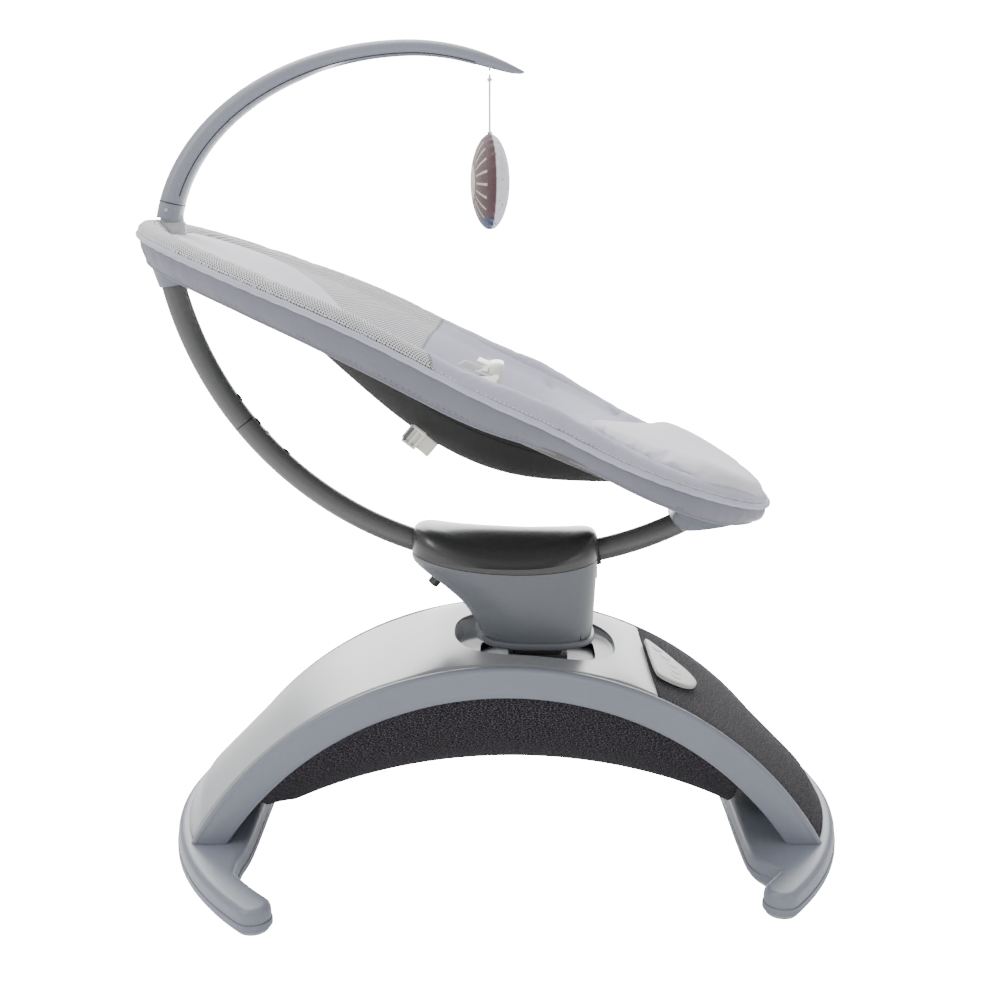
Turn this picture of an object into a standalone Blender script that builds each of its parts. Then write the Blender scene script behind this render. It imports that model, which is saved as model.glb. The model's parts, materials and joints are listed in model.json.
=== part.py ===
"""A motorised baby swing: an arched base, a moving pedestal, a reclining seat and a toy bar."""
import math

import bmesh
import bpy

MM = 0.001
GAP = 0.3 * MM

# The base's X centre is not the whole object's, so the assembly is moved to stand over the origin.
ASSEMBLY_X = 5.3 * MM

# Arch: two side rims on one circle, whose centre lies under the floor.
ARCH_RADIUS = 377 * MM
ARCH_CENTRE_Z = -157.5 * MM
ARCH_HALF_WIDTH = 125.5 * MM
RIM_DEPTH = 33.5 * MM
RIM_THICKNESS = 8 * MM
COVER_HALF_WIDTH = ARCH_HALF_WIDTH - RIM_THICKNESS - GAP
COVER_THICKNESS = 3.2 * MM
COVER_END_X = 155 * MM
CROWN = 20 * MM
LEG_END_Z = 29.6 * MM

# Feet
FOOT_RADIUS = 362 * MM
FOOT_TOP = 27 * MM
SOLE_THICKNESS = 4 * MM
PRONG_WIDTH = 38 * MM

# Well in the cover, and the drive under it
WELL_LOW_X, WELL_HIGH_X = -60 * MM, 114 * MM
WELL_HALF_WIDTH = 82 * MM
LIFT_X = 34 * MM
RAIL_Z = 130 * MM
RAIL_Y = 42 * MM
ROD_RADIUS = 5 * MM
SWAY_PITCH_RADIUS = 10 * MM
LIFT_PITCH_RADIUS = 15 * MM
TOOTH_HEIGHT = 1.6 * MM

# Pedestal
SEAM_RADIUS = 240 * MM
SEAM_CENTRE = (26 * MM, 537 * MM)

# Spine tube: an arc about the recline axis
RECLINE_AXIS = (20 * MM, 678 * MM)
SPINE_RADIUS = 376 * MM
TUBE_RADIUS = 12.5 * MM
SOCKET_RADIUS = 14.2 * MM
SPINE_START, SPINE_JOINT, SPINE_END = 191.0, 217.6, 297.0

# Seat rim: a superellipse on a gently curved slope
SEAT_X = -46 * MM
SEAT_Z = 510 * MM
SEAT_HALF_LENGTH = 327 * MM
SEAT_HALF_WIDTH = 200 * MM
SEAT_SLOPE = 0.478
SEAT_CURVE = 0.46
SEAT_POWER = 2.3
RING_RADIUS = 8 * MM
PAD_WIDTH = 34 * MM
LINER_DEPTH = 76 * MM
SLING_DEPTH = 92 * MM
BOWL_POWER = 2.8

# Toy bar: an arc of an ellipse
BAR_CENTRE = (-96 * MM, 632 * MM)
BAR_HALF_LENGTH = 266 * MM
BAR_HEIGHT = 206 * MM
BAR_SWIVEL = (-344 * MM, 664 * MM)
TOY_HOOK = (-17 * MM, 812 * MM)
ALONG_X = (0, math.pi / 2, 0)
ALONG_Y = (math.pi / 2, 0, 0)
STRING_LENGTH = 60 * MM
STRING_RADIUS = 1.1 * MM
TOY_HALF_THICKNESS = 19.5 * MM
TOY_RADIUS = 45 * MM
BAR_START_ANGLE = 171
BAR_SWEEP = 106.5
BAR_TAPER_FROM = 0.93
BAR_DROOP = 11 * MM
BAR_DROOP_FROM = 0.75

parts = None
cutters = None
assembly = None


def empty_scene():
    for thing in list(bpy.data.objects):
        bpy.data.objects.remove(thing, do_unlink=True)


def make_collections():
    global parts, cutters, assembly
    parts = bpy.data.collections.new("baby_swing")
    cutters = bpy.data.collections.new("cutters")
    bpy.context.scene.collection.children.link(parts)
    bpy.context.scene.collection.children.link(cutters)
    assembly = bpy.data.objects.new("assembly", None)
    assembly.location = (ASSEMBLY_X, 0, 0)
    parts.objects.link(assembly)


def pivot(name, place):
    empty = bpy.data.objects.new(name, None)
    empty.location = place
    empty.parent = assembly
    parts.objects.link(empty)
    return empty


def finish(thing, colour, roughness=0.5, metallic=0.0):
    material = bpy.data.materials.new(thing.name)
    material.use_nodes = True
    shader = material.node_tree.nodes["Principled BSDF"]
    shader.inputs["Base Color"].default_value = (*colour, 1)
    shader.inputs["Roughness"].default_value = roughness
    shader.inputs["Metallic"].default_value = metallic
    thing.data.materials.clear()
    thing.data.materials.append(material)
    return thing


def add_mesh(name, bm, parent=None):
    bmesh.ops.recalc_face_normals(bm, faces=bm.faces)
    mesh = bpy.data.meshes.new(name)
    bm.to_mesh(mesh)
    bm.free()
    thing = bpy.data.objects.new(name, mesh)
    thing.parent = parent or assembly
    parts.objects.link(thing)
    return thing


def box(name, low, high, parent=None):
    bm = bmesh.new()
    bmesh.ops.create_cube(bm, size=1)
    bmesh.ops.scale(bm, verts=bm.verts, vec=[b - a for a, b in zip(low, high)])
    thing = add_mesh(name, bm, parent)
    thing.location = [(a + b) / 2 for a, b in zip(low, high)]
    if parent:
        thing.location = [c - p for c, p in zip(thing.location, parent.location)]
    return thing


def cylinder(name, radius, length, centre, turn=(0, 0, 0), parent=None, sides=32):
    bm = bmesh.new()
    bmesh.ops.create_cone(bm, cap_ends=True, segments=sides, radius1=radius, radius2=radius, depth=length)
    thing = add_mesh(name, bm, parent)
    thing.location = centre
    if parent:
        thing.location = [c - p for c, p in zip(centre, parent.location)]
    thing.rotation_euler = turn
    return thing


def curve_to_mesh(thing):
    bpy.context.view_layer.update()
    evaluated = thing.evaluated_get(bpy.context.evaluated_depsgraph_get())
    mesh = bpy.data.meshes.new_from_object(evaluated)
    bm = bmesh.new()
    bm.from_mesh(mesh)
    bmesh.ops.remove_doubles(bm, verts=bm.verts, dist=0.00002)
    bmesh.ops.recalc_face_normals(bm, faces=bm.faces)
    bm.to_mesh(mesh)
    bm.free()
    name = thing.name
    parent, matrix = thing.parent, thing.matrix_local.copy()
    bpy.data.objects.remove(thing, do_unlink=True)
    solid = bpy.data.objects.new(name, mesh)
    solid.parent = parent
    solid.matrix_local = matrix
    parts.objects.link(solid)
    return solid


def flat(name, outline, thickness, centre=(0, 0, 0), turn=(0, 0, 0), parent=None):
    curve = bpy.data.curves.new(name, "CURVE")
    curve.dimensions = "2D"
    curve.fill_mode = "BOTH"
    curve.extrude = thickness / 2
    spline = curve.splines.new("POLY")
    spline.points.add(len(outline) - 1)
    for point, place in zip(spline.points, outline):
        point.co = (*place, 0, 1)
    spline.use_cyclic_u = True
    thing = bpy.data.objects.new(name, curve)
    thing.parent = parent or assembly
    thing.location = centre
    thing.rotation_euler = turn
    parts.objects.link(thing)
    return curve_to_mesh(thing)


def pipe(name, points, radius, closed=False, parent=None):
    curve = bpy.data.curves.new(name, "CURVE")
    curve.dimensions = "3D"
    curve.bevel_depth = radius
    curve.bevel_resolution = 3
    curve.use_fill_caps = not closed
    spline = curve.splines.new("POLY")
    spline.points.add(len(points) - 1)
    for point, place in zip(spline.points, points):
        point.co = (*place, 1)
    spline.use_cyclic_u = closed
    thing = bpy.data.objects.new(name, curve)
    thing.parent = parent or assembly
    parts.objects.link(thing)
    return curve_to_mesh(thing)


def loft(name, rings, closed=False, parent=None):
    bm = bmesh.new()
    loops = [[bm.verts.new(place) for place in ring] for ring in rings]
    pairs = list(zip(loops, loops[1:]))
    if closed:
        pairs.append((loops[-1], loops[0]))
    for near, far in pairs:
        for i in range(len(near)):
            j = (i + 1) % len(near)
            bm.faces.new((near[i], near[j], far[j], far[i]))
    if not closed:
        bm.faces.new(loops[0])
        bm.faces.new(loops[-1])
    return add_mesh(name, bm, parent)


def sheet(name, place, columns, rows, thickness, parent=None):
    bm = bmesh.new()
    bmesh.ops.create_grid(bm, x_segments=columns, y_segments=rows, size=0.5)
    for vertex in bm.verts:
        vertex.co = place(vertex.co.x + 0.5, vertex.co.y * 2)
    thing = add_mesh(name, bm, parent)
    solidify = thing.modifiers.new("thickness", "SOLIDIFY")
    solidify.thickness = thickness
    solidify.offset = -1
    return thing


def soften(thing, width, segments=2):
    bevel = thing.modifiers.new("edges", "BEVEL")
    bevel.width = width
    bevel.segments = segments
    bevel.limit_method = "ANGLE"
    bevel.angle_limit = math.radians(40)
    return thing


def combine(thing, cutter, operation="DIFFERENCE"):
    step = thing.modifiers.new(operation.lower(), "BOOLEAN")
    step.operation = operation
    step.solver = "EXACT"
    step.object = cutter
    if parts.objects.get(cutter.name):
        parts.objects.unlink(cutter)
        cutters.objects.link(cutter)
    cutter.hide_render = True
    cutter.display_type = "WIRE"
    return thing


def arc(centre, radius, start, end, count):
    step = (end - start) / (count - 1)
    angles = [math.radians(start + i * step) for i in range(count)]
    return [(centre[0] + radius * math.cos(a), centre[1] + radius * math.sin(a)) for a in angles]


# ---- base -----------------------------------------------------------------------------------

LIGHT_GREY = (0.56, 0.58, 0.61)
MID_GREY = (0.40, 0.41, 0.43)
DARK_GREY = (0.07, 0.07, 0.075)
CHARCOAL = (0.045, 0.043, 0.05)
STEEL = (0.6, 0.6, 0.62)


def foot_outline(side, tip_y, neck_y, inner_x, inset):
    """A crescent: an outer arc, two rounded prongs and a wider middle."""
    radius = FOOT_RADIUS - inset
    half = PRONG_WIDTH / 2 - inset
    middle = FOOT_RADIUS - PRONG_WIDTH / 2
    tip_angle = math.degrees(math.asin((tip_y - PRONG_WIDTH / 2) / middle))
    neck_angle = math.degrees(math.asin(neck_y / (middle - half)))
    tip = math.radians(tip_angle)
    round_centre = (middle * math.cos(tip), middle * math.sin(tip))
    upper = arc((0, 0), radius, 0, tip_angle, 13)
    upper += arc(round_centre, half, tip_angle, tip_angle + 180, 9)[1:]
    upper += arc((0, 0), middle - half, tip_angle, neck_angle, 5)[1:]
    upper.append((inner_x + inset + 6 * MM, neck_y - 22 * MM))
    upper.append((inner_x + inset, neck_y - 55 * MM))
    lower = [(x, -y) for x, y in upper[:0:-1]]
    return [(side * x, y) for x, y in upper + lower]


def make_feet():
    sizes = {
        "left": (-1, 262 * MM, 180 * MM, 266 * MM),
        "right": (1, 232 * MM, 176 * MM, 247 * MM),
    }
    for name, (side, tip_y, neck_y, inner_x) in sizes.items():
        height = FOOT_TOP - SOLE_THICKNESS - GAP
        outline = foot_outline(side, tip_y, neck_y, inner_x, 0)
        foot = flat(f"foot_{name}", outline, height, (0, 0, FOOT_TOP - height / 2))
        soften(finish(foot, LIGHT_GREY, 0.42), 5 * MM, 3)
        outline = foot_outline(side, tip_y, neck_y, inner_x, 3 * MM)
        sole = flat(f"sole_{name}", outline, SOLE_THICKNESS, (0, 0, SOLE_THICKNESS / 2))
        finish(sole, (0.62, 0.63, 0.64), 0.8)


def arch_place(radius, start_x, side_from, side_to, crown):
    """A point on the arch for t along it (0 to 1) and v across it (-1 to 1)."""
    def place(t, v):
        swell = crown * (1 - v * v)
        ends = []
        for limit in (side_from, side_to):
            if limit is None:
                ends.append(math.asin(start_x / radius))
            else:
                ends.append(limit * math.acos((LEG_END_Z - ARCH_CENTRE_Z) / (radius + swell)))
        angle = ends[0] + t * (ends[1] - ends[0])
        rise = min(1.0, max(0.0, (abs(angle) - 0.55) / 0.45))
        size = radius + swell * rise * rise
        return (size * math.sin(angle), v * COVER_HALF_WIDTH, ARCH_CENTRE_Z + size * math.cos(angle))
    return place


def well_cutter(name, grow):
    width = (WELL_HIGH_X - WELL_LOW_X) / 2 + grow
    middle = (WELL_HIGH_X + WELL_LOW_X) / 2
    outline = []
    for i in range(32):
        a = 2 * math.pi * i / 32
        c, s = math.cos(a), math.sin(a)
        x = middle + width * math.copysign(abs(c) ** 0.62, c)
        y = (WELL_HALF_WIDTH + grow) * math.copysign(abs(s) ** 0.62, s)
        outline.append((x, y))
    return flat(name, outline, 120 * MM, (0, 0, 215 * MM))


def make_arch():
    place = arch_place(ARCH_RADIUS, COVER_END_X, -1, None, CROWN)
    cover = sheet("top_cover", place, 26, 4, COVER_THICKNESS)
    combine(finish(cover, LIGHT_GREY, 0.38), well_cutter("well_hole", 0))

    place = arch_place(ARCH_RADIUS, COVER_END_X + GAP * 2, None, 1, CROWN)
    leg = sheet("leg_fabric", place, 12, 4, COVER_THICKNESS)
    finish(leg, CHARCOAL, 0.95)

    place = arch_place(ARCH_RADIUS - COVER_THICKNESS - 5 * GAP, 0, -1, 1, CROWN)
    tray = sheet("arch_tray", place, 36, 4, 5 * MM)
    combine(finish(tray, MID_GREY, 0.5), well_cutter("tray_hole", 3 * MM))

    lower = ARCH_RADIUS - RIM_DEPTH
    outer_end = math.degrees(math.asin((FOOT_TOP + GAP - ARCH_CENTRE_Z) / ARCH_RADIUS))
    inner_end = math.degrees(math.asin((FOOT_TOP + GAP - ARCH_CENTRE_Z) / lower))
    outline = arc((0, ARCH_CENTRE_Z), ARCH_RADIUS, outer_end, 180 - outer_end, 45)
    outline += arc((0, ARCH_CENTRE_Z), lower, 180 - inner_end, inner_end, 41)
    for name, side in (("near", -1), ("far", 1)):
        y = side * (ARCH_HALF_WIDTH - RIM_THICKNESS / 2)
        rim = flat(f"rim_{name}", outline, RIM_THICKNESS, (0, y, 0), ALONG_Y)
        soften(finish(rim, LIGHT_GREY, 0.38), 1.5 * MM)

    def belly_place(t, v):
        x = (-256 + 497 * t) * MM
        edge = ARCH_CENTRE_Z + math.sqrt((lower - GAP) ** 2 - x * x) + 4 * MM
        middle = (78 - 608) * MM + math.sqrt((608 * MM) ** 2 - (x - 6 * MM) ** 2)
        middle = max(middle, 29 * MM)
        return (x, v * (COVER_HALF_WIDTH - GAP), middle + (edge - middle) * v * v)

    belly = sheet("belly_fabric", belly_place, 20, 8, 2.4 * MM)
    belly.modifiers["thickness"].offset = 1
    finish(belly, CHARCOAL, 0.95)


def make_panel():
    """The leaf-shaped control panel on the right leg, and its five buttons."""
    lean = math.asin(178 * MM / ARCH_RADIUS)
    normal = (math.sin(lean), 0, math.cos(lean))
    surface = ARCH_RADIUS + GAP * 3
    centre = [surface * normal[0], 0, ARCH_CENTRE_Z + surface * normal[2]]
    leaf = [(-26, 58), (-9, 47), (9, 27), (23, 9), (29, -12), (23, -34), (8, -51), (-10, -58), (-21, -57), (-26, -48)]
    outline = [(along * MM, across * MM) for along, across in reversed(leaf)]
    thickness = 4 * MM
    place = [c + n * (thickness / 2 + 0.8 * MM) for c, n in zip(centre, normal)]
    panel = flat("control_panel", outline, thickness, place, (0, lean, 0))
    finish(panel, (0.68, 0.69, 0.71), 0.35)
    spots = {"power": (2, -36), "motion": (5, -18), "speed": (3, 0), "sound": (-4, 18), "volume": (-12, 35)}
    for name, (along, across) in spots.items():
        middle = [
            place[0] + along * MM * math.cos(lean),
            across * MM,
            place[2] - along * MM * math.sin(lean),
        ]
        hole = cylinder(f"{name}_hole", 6.3 * MM, 12 * MM, middle, (0, lean, 0))
        combine(panel, hole)
        button = cylinder(f"{name}_button", 6 * MM, 3.4 * MM, [m + n * 0.9 * MM for m, n in zip(middle, normal)],
                          (0, lean, 0))
        finish(button, (0.8, 0.8, 0.82), 0.35)


def gear_outline(radius, teeth):
    outline = []
    pitch = 360 / teeth
    for i in range(teeth):
        for share, grow in ((-0.24, -1), (-0.12, 1), (0.12, 1), (0.24, -1)):
            a = math.radians((i + share) * pitch)
            r = radius + grow * TOOTH_HEIGHT / 2
            outline.append((r * math.cos(a), r * math.sin(a)))
    return outline


def rack_outline(length, depth, pitch, phase):
    count = int(length / pitch)
    outline = [(-length / 2, -depth), (length / 2, -depth)]
    half = TOOTH_HEIGHT / 2
    for i in range(count, -count - 1, -1):
        x = i * pitch + phase
        if abs(x) + pitch * 0.3 < length / 2:
            for share, height in ((0.24, -half), (0.12, half), (-0.12, half), (-0.24, -half)):
                outline.append((x + share * pitch, height))
    outline.insert(2, (length / 2, -half))
    outline.append((-length / 2, -half))
    return outline


def make_drive():
    rail = [(-120, 118), (198, 118), (198, 148), (184, 148), (184, 142), (-106, 142), (-106, 184), (-120, 184)]
    frame = flat("rail_frame", [(x * MM, z * MM) for x, z in rail], 120 * MM, (0, 0, 0), ALONG_Y)
    inner = box("rail_frame_hole", (-105 * MM, -52 * MM, 100 * MM), (183 * MM, 52 * MM, 145 * MM))
    combine(finish(frame, MID_GREY, 0.5), inner)
    for name, side in (("near", -1), ("far", 1)):
        centre = (39 * MM, side * RAIL_Y, RAIL_Z)
        rod = cylinder(f"guide_rod_{name}", ROD_RADIUS, 287.4 * MM, centre, ALONG_X, sides=20)
        finish(rod, STEEL, 0.25, 1.0)

    floor = box("well_floor", (-75 * MM, -92 * MM, 181 * MM), (117 * MM, 92 * MM, 185 * MM))
    slot = box("well_floor_slot", (-32 * MM, -32 * MM, 170 * MM), (88 * MM, 32 * MM, 195 * MM))
    combine(finish(floor, LIGHT_GREY, 0.5), slot)

    sway_place = (10 * MM, -40 * MM, 160.6 * MM)
    sway = pivot("sway_axis", sway_place)
    pinion = flat("sway_pinion", gear_outline(SWAY_PITCH_RADIUS, 12), 8 * MM, (0, 0, 0), ALONG_Y, sway)
    finish(pinion, (0.85, 0.82, 0.72), 0.5)
    motor = cylinder("sway_motor", 17 * MM, 36 * MM, (10 * MM, -62.4 * MM, 160.6 * MM), ALONG_Y)
    finish(motor, (0.3, 0.3, 0.31), 0.4, 0.8)

    speaker = cylinder("speaker", 22 * MM, 18 * MM, (-150 * MM, 0, 150 * MM), (0, -math.radians(24), 0))
    finish(speaker, (0.05, 0.05, 0.05), 0.6)
    inlet = cylinder("power_inlet", 6 * MM, 16 * MM, (-150 * MM, 98 * MM, 158 * MM), ALONG_Y, sides=20)
    hole = cylinder("power_inlet_hole", 3 * MM, 24 * MM, (-150 * MM, 110 * MM, 158 * MM), ALONG_Y, sides=20)
    combine(finish(inlet, (0.03, 0.03, 0.03), 0.5), hole)


def make_carriage():
    block = box("carriage", (-26 * MM, -50 * MM, 118 * MM), (94 * MM, 50 * MM, 142 * MM))
    finish(block, MID_GREY, 0.5)
    for side in (-1, 1):
        bore = cylinder(f"carriage_bore_{side}", ROD_RADIUS + 0.4 * MM, 200 * MM, (LIFT_X, side * RAIL_Y, RAIL_Z),
                        ALONG_X, sides=20)
        combine(block, bore)
    combine(block, box("carriage_well", (8 * MM, -22 * MM, 100 * MM), (60 * MM, 22 * MM, 160 * MM)))
    combine(block, box("carriage_slot", (27 * MM, 15 * MM, 101 * MM), (41 * MM, 31 * MM, 161 * MM)))

    pitch = 2 * math.pi * SWAY_PITCH_RADIUS / 12
    centre = (LIFT_X, -40 * MM, 150.6 * MM - 0.5 * MM)
    phase = 10 * MM - LIFT_X + pitch / 2
    phase = math.remainder(phase, pitch)
    rack = flat("sway_rack", rack_outline(118 * MM, 7.4 * MM, pitch, phase), 8 * MM, centre, ALONG_Y)
    finish(rack, (0.85, 0.82, 0.72), 0.5)

    guide = box("lift_guide", (2 * MM, -28 * MM, 142.3 * MM), (66 * MM, 28 * MM, 200 * MM))
    combine(guide, box("lift_guide_bore", (8 * MM, -22 * MM, 130 * MM), (60 * MM, 22 * MM, 220 * MM)))
    combine(guide, box("lift_guide_slot", (27 * MM, 15 * MM, 131 * MM), (41 * MM, 40 * MM, 221 * MM)))
    finish(guide, MID_GREY, 0.5)

    shield = box("slot_shield", (-44 * MM, -36 * MM, 185.5 * MM), (96 * MM, 36 * MM, 187.5 * MM))
    combine(shield, box("slot_shield_hole", (1.6 * MM, -28.4 * MM, 180 * MM), (66.4 * MM, 28.4 * MM, 192 * MM)))
    finish(shield, LIGHT_GREY, 0.5)

    lift_y = 26 * MM + LIFT_PITCH_RADIUS
    motor = cylinder("lift_motor", 11.5 * MM, 34 * MM, (58 * MM, lift_y, 162 * MM), ALONG_X)
    finish(motor, (0.3, 0.3, 0.31), 0.4, 0.8)
    axis = pivot("lift_axis", (34 * MM, lift_y, 162 * MM))
    pinion = flat("lift_pinion", gear_outline(LIFT_PITCH_RADIUS, 18), 10 * MM, (0, 0, 0), ALONG_X, axis)
    finish(pinion, (0.85, 0.82, 0.72), 0.5)


# ---- pedestal -------------------------------------------------------------------------------

def pedestal_solid(name):
    """Superellipse sections: left edge, right edge and half width for each height."""
    levels = (
        (221, -26, 93, 51), (228, -31, 94, 52), (240, -37, 95, 53), (258, -49, 96, 54), (277, -70, 97, 55),
        (291, -88, 98, 56), (304, -101, 99, 57), (316, -102, 100, 57), (328, -101, 99, 56), (336, -96, 95, 51),
        (341, -86, 86, 42),
    )
    rings = []
    for z, left, right, half in levels:
        ring = []
        for i in range(32):
            a = 2 * math.pi * i / 32
            c, s = math.cos(a), math.sin(a)
            x = (left + right) / 2 + (right - left) / 2 * math.copysign(abs(c) ** 0.75, c)
            y = half * math.copysign(abs(s) ** 0.75, s)
            ring.append((x * MM, y * MM, z * MM))
        rings.append(ring)
    return loft(name, rings)


def spine_point(angle, radius=SPINE_RADIUS):
    a = math.radians(angle)
    return (RECLINE_AXIS[0] + radius * math.cos(a), 0, RECLINE_AXIS[1] + radius * math.sin(a))


def spine_points(start, end, step=3.0):
    count = max(2, round((end - start) / step) + 1)
    return [spine_point(start + (end - start) * i / (count - 1)) for i in range(count)]


def make_pedestal():
    column = box("lift_column", (9 * MM, -21 * MM, 128 * MM), (59 * MM, 21 * MM, 258 * MM))
    flange = box("lift_column_flange", (-8 * MM, -38 * MM, 255 * MM), (78 * MM, 38 * MM, 261.7 * MM))
    combine(finish(column, MID_GREY, 0.4), flange, "UNION")

    pitch = 2 * math.pi * LIFT_PITCH_RADIUS / 18
    phase = math.remainder(162 * MM - 180 * MM, pitch)
    outline = rack_outline(104 * MM, 4.2 * MM, pitch, phase)
    rack = flat("lift_rack", outline, 12 * MM, (34 * MM, 25.6 * MM, 180 * MM), (0, -math.pi / 2, 0))
    finish(rack, (0.85, 0.82, 0.72), 0.5)

    channel = spine_points(240, 293)
    seam = cylinder("housing_seam", SEAM_RADIUS, 200 * MM, (SEAM_CENTRE[0], 0, SEAM_CENTRE[1]), ALONG_Y, sides=144)
    lid = cylinder("cap_seam", SEAM_RADIUS - 2 * GAP, 200 * MM, (SEAM_CENTRE[0], 0, SEAM_CENTRE[1]), ALONG_Y,
                   sides=144)
    tunnel = pipe("tube_channel", channel, 16 * MM)

    lean = math.radians(218)
    place = (-76 * MM, 0, 278.5 * MM)
    outward = (place[0] + 5 * MM * math.sin(lean), 0, place[2] + 5 * MM * math.cos(lean))
    housing = pedestal_solid("pedestal_housing")
    combine(housing, cylinder("knob_bore", 6.8 * MM, 34 * MM, outward, (0, lean, 0), sides=24))
    combine(housing, seam)
    combine(housing, tunnel)
    combine(housing, box("housing_room", (-12 * MM, -40 * MM, 205 * MM), (80 * MM, 40 * MM, 262 * MM)))
    finish(housing, LIGHT_GREY, 0.38)

    cap = pedestal_solid("pedestal_cap")
    combine(cap, lid, "INTERSECT")
    combine(cap, tunnel)
    soften(finish(cap, DARK_GREY, 0.45), 1.2 * MM)

    outline = []
    for i in range(36):
        a = 2 * math.pi * i / 36
        c, s = math.cos(a), math.sin(a)
        outline.append((34 * MM + 62 * MM * math.copysign(abs(c) ** 0.75, c),
                        53 * MM * math.copysign(abs(s) ** 0.75, s)))
    ring = flat("pedestal_ring", outline, 7.6 * MM, (0, 0, 216.9 * MM))
    combine(ring, box("pedestal_ring_room", (-12 * MM, -40 * MM, 200 * MM), (80 * MM, 40 * MM, 232 * MM)))
    soften(finish(ring, LIGHT_GREY, 0.4), 1.2 * MM)

    for name, start in (("left", 252.5), ("right", 280.5)):
        bush = pipe(f"tube_bush_{name}", spine_points(start, start + 1.8, 0.6), 15.6 * MM)
        hole = pipe(f"tube_bush_{name}_hole", spine_points(start - 3, start + 4.8, 0.6), 13 * MM)
        combine(finish(bush, (0.1, 0.1, 0.1), 0.6), hole)

    knob = cylinder("recline_knob", 6 * MM, 16 * MM, place, (0, lean, 0), sides=24)
    soften(finish(knob, DARK_GREY, 0.5), 1 * MM)


# ---- seat -----------------------------------------------------------------------------------

def rim_height(x):
    u = x - SEAT_X
    return SEAT_Z - SEAT_SLOPE * u + SEAT_CURVE * u ** 3


def rim_point(angle, inset=0.0, rise=0.0):
    c, s = math.cos(angle), math.sin(angle)
    power = 2 / SEAT_POWER
    x = SEAT_X + (SEAT_HALF_LENGTH - inset) * math.copysign(abs(c) ** power, c)
    y = (SEAT_HALF_WIDTH - inset) * math.copysign(abs(s) ** power, s)
    return (x, y, rim_height(x) + rise)


def around(count):
    return [2 * math.pi * (i + 0.5) / count for i in range(count)]


def bowl(x, y):
    """Depth share under the rim: 1 in the middle, 0 at the rim."""
    share = (abs(x - SEAT_X) / SEAT_HALF_LENGTH) ** 2 + (abs(y) / SEAT_HALF_WIDTH) ** 2
    return max(0.0, 1 - share) ** BOWL_POWER


def half_width(x, inset):
    share = min(0.985, abs(x - SEAT_X) / (SEAT_HALF_LENGTH - inset))
    return (SEAT_HALF_WIDTH - inset) * (1 - share ** SEAT_POWER) ** (1 / SEAT_POWER)


def make_spine():
    upper = pipe("spine_tube_upper", spine_points(SPINE_START, SPINE_JOINT - 0.15), TUBE_RADIUS)
    finish(upper, DARK_GREY, 0.4, 0.3)
    lower = pipe("spine_tube_lower", spine_points(SPINE_JOINT, SPINE_END), TUBE_RADIUS)
    finish(lower, DARK_GREY, 0.4, 0.3)
    surface = SPINE_RADIUS - TUBE_RADIUS
    lean = (0, math.radians(90 - 221), 0)
    combine(lower, cylinder("snap_hole", 4.5 * MM, 16 * MM, spine_point(221, surface), lean, sides=16))
    button = cylinder("snap_button", 4 * MM, 5 * MM, spine_point(221, surface + 1 * MM), lean, sides=16)
    finish(button, STEEL, 0.3, 1.0)

    head = box("head_bracket", (-366 * MM, -24 * MM, 594 * MM), (-331 * MM, 24 * MM, 622.5 * MM))
    socket = pipe("head_bracket_hole", spine_points(SPINE_START - 0.2, SPINE_START + 12), SOCKET_RADIUS)
    soften(finish(head, MID_GREY, 0.4), 5 * MM, 3)
    combine(head, socket)

    outline = [(176, 350), (188, 337), (214, 334), (262, 344), (264, 353), (226, 372), (196, 374)]
    foot = flat("foot_bracket", [(x * MM, z * MM) for x, z in outline], 46 * MM, (0, 0, 0), ALONG_Y)
    socket = pipe("foot_bracket_hole", spine_points(SPINE_END - 12, SPINE_END + 0.2), SOCKET_RADIUS)
    soften(finish(foot, MID_GREY, 0.4), 3 * MM)
    combine(foot, socket)

    collar = cylinder("bar_socket", 14 * MM, 16 * MM, (-344 * MM, 0, 651.4 * MM), sides=24)
    soften(finish(collar, LIGHT_GREY, 0.4), 1.5 * MM)


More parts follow.
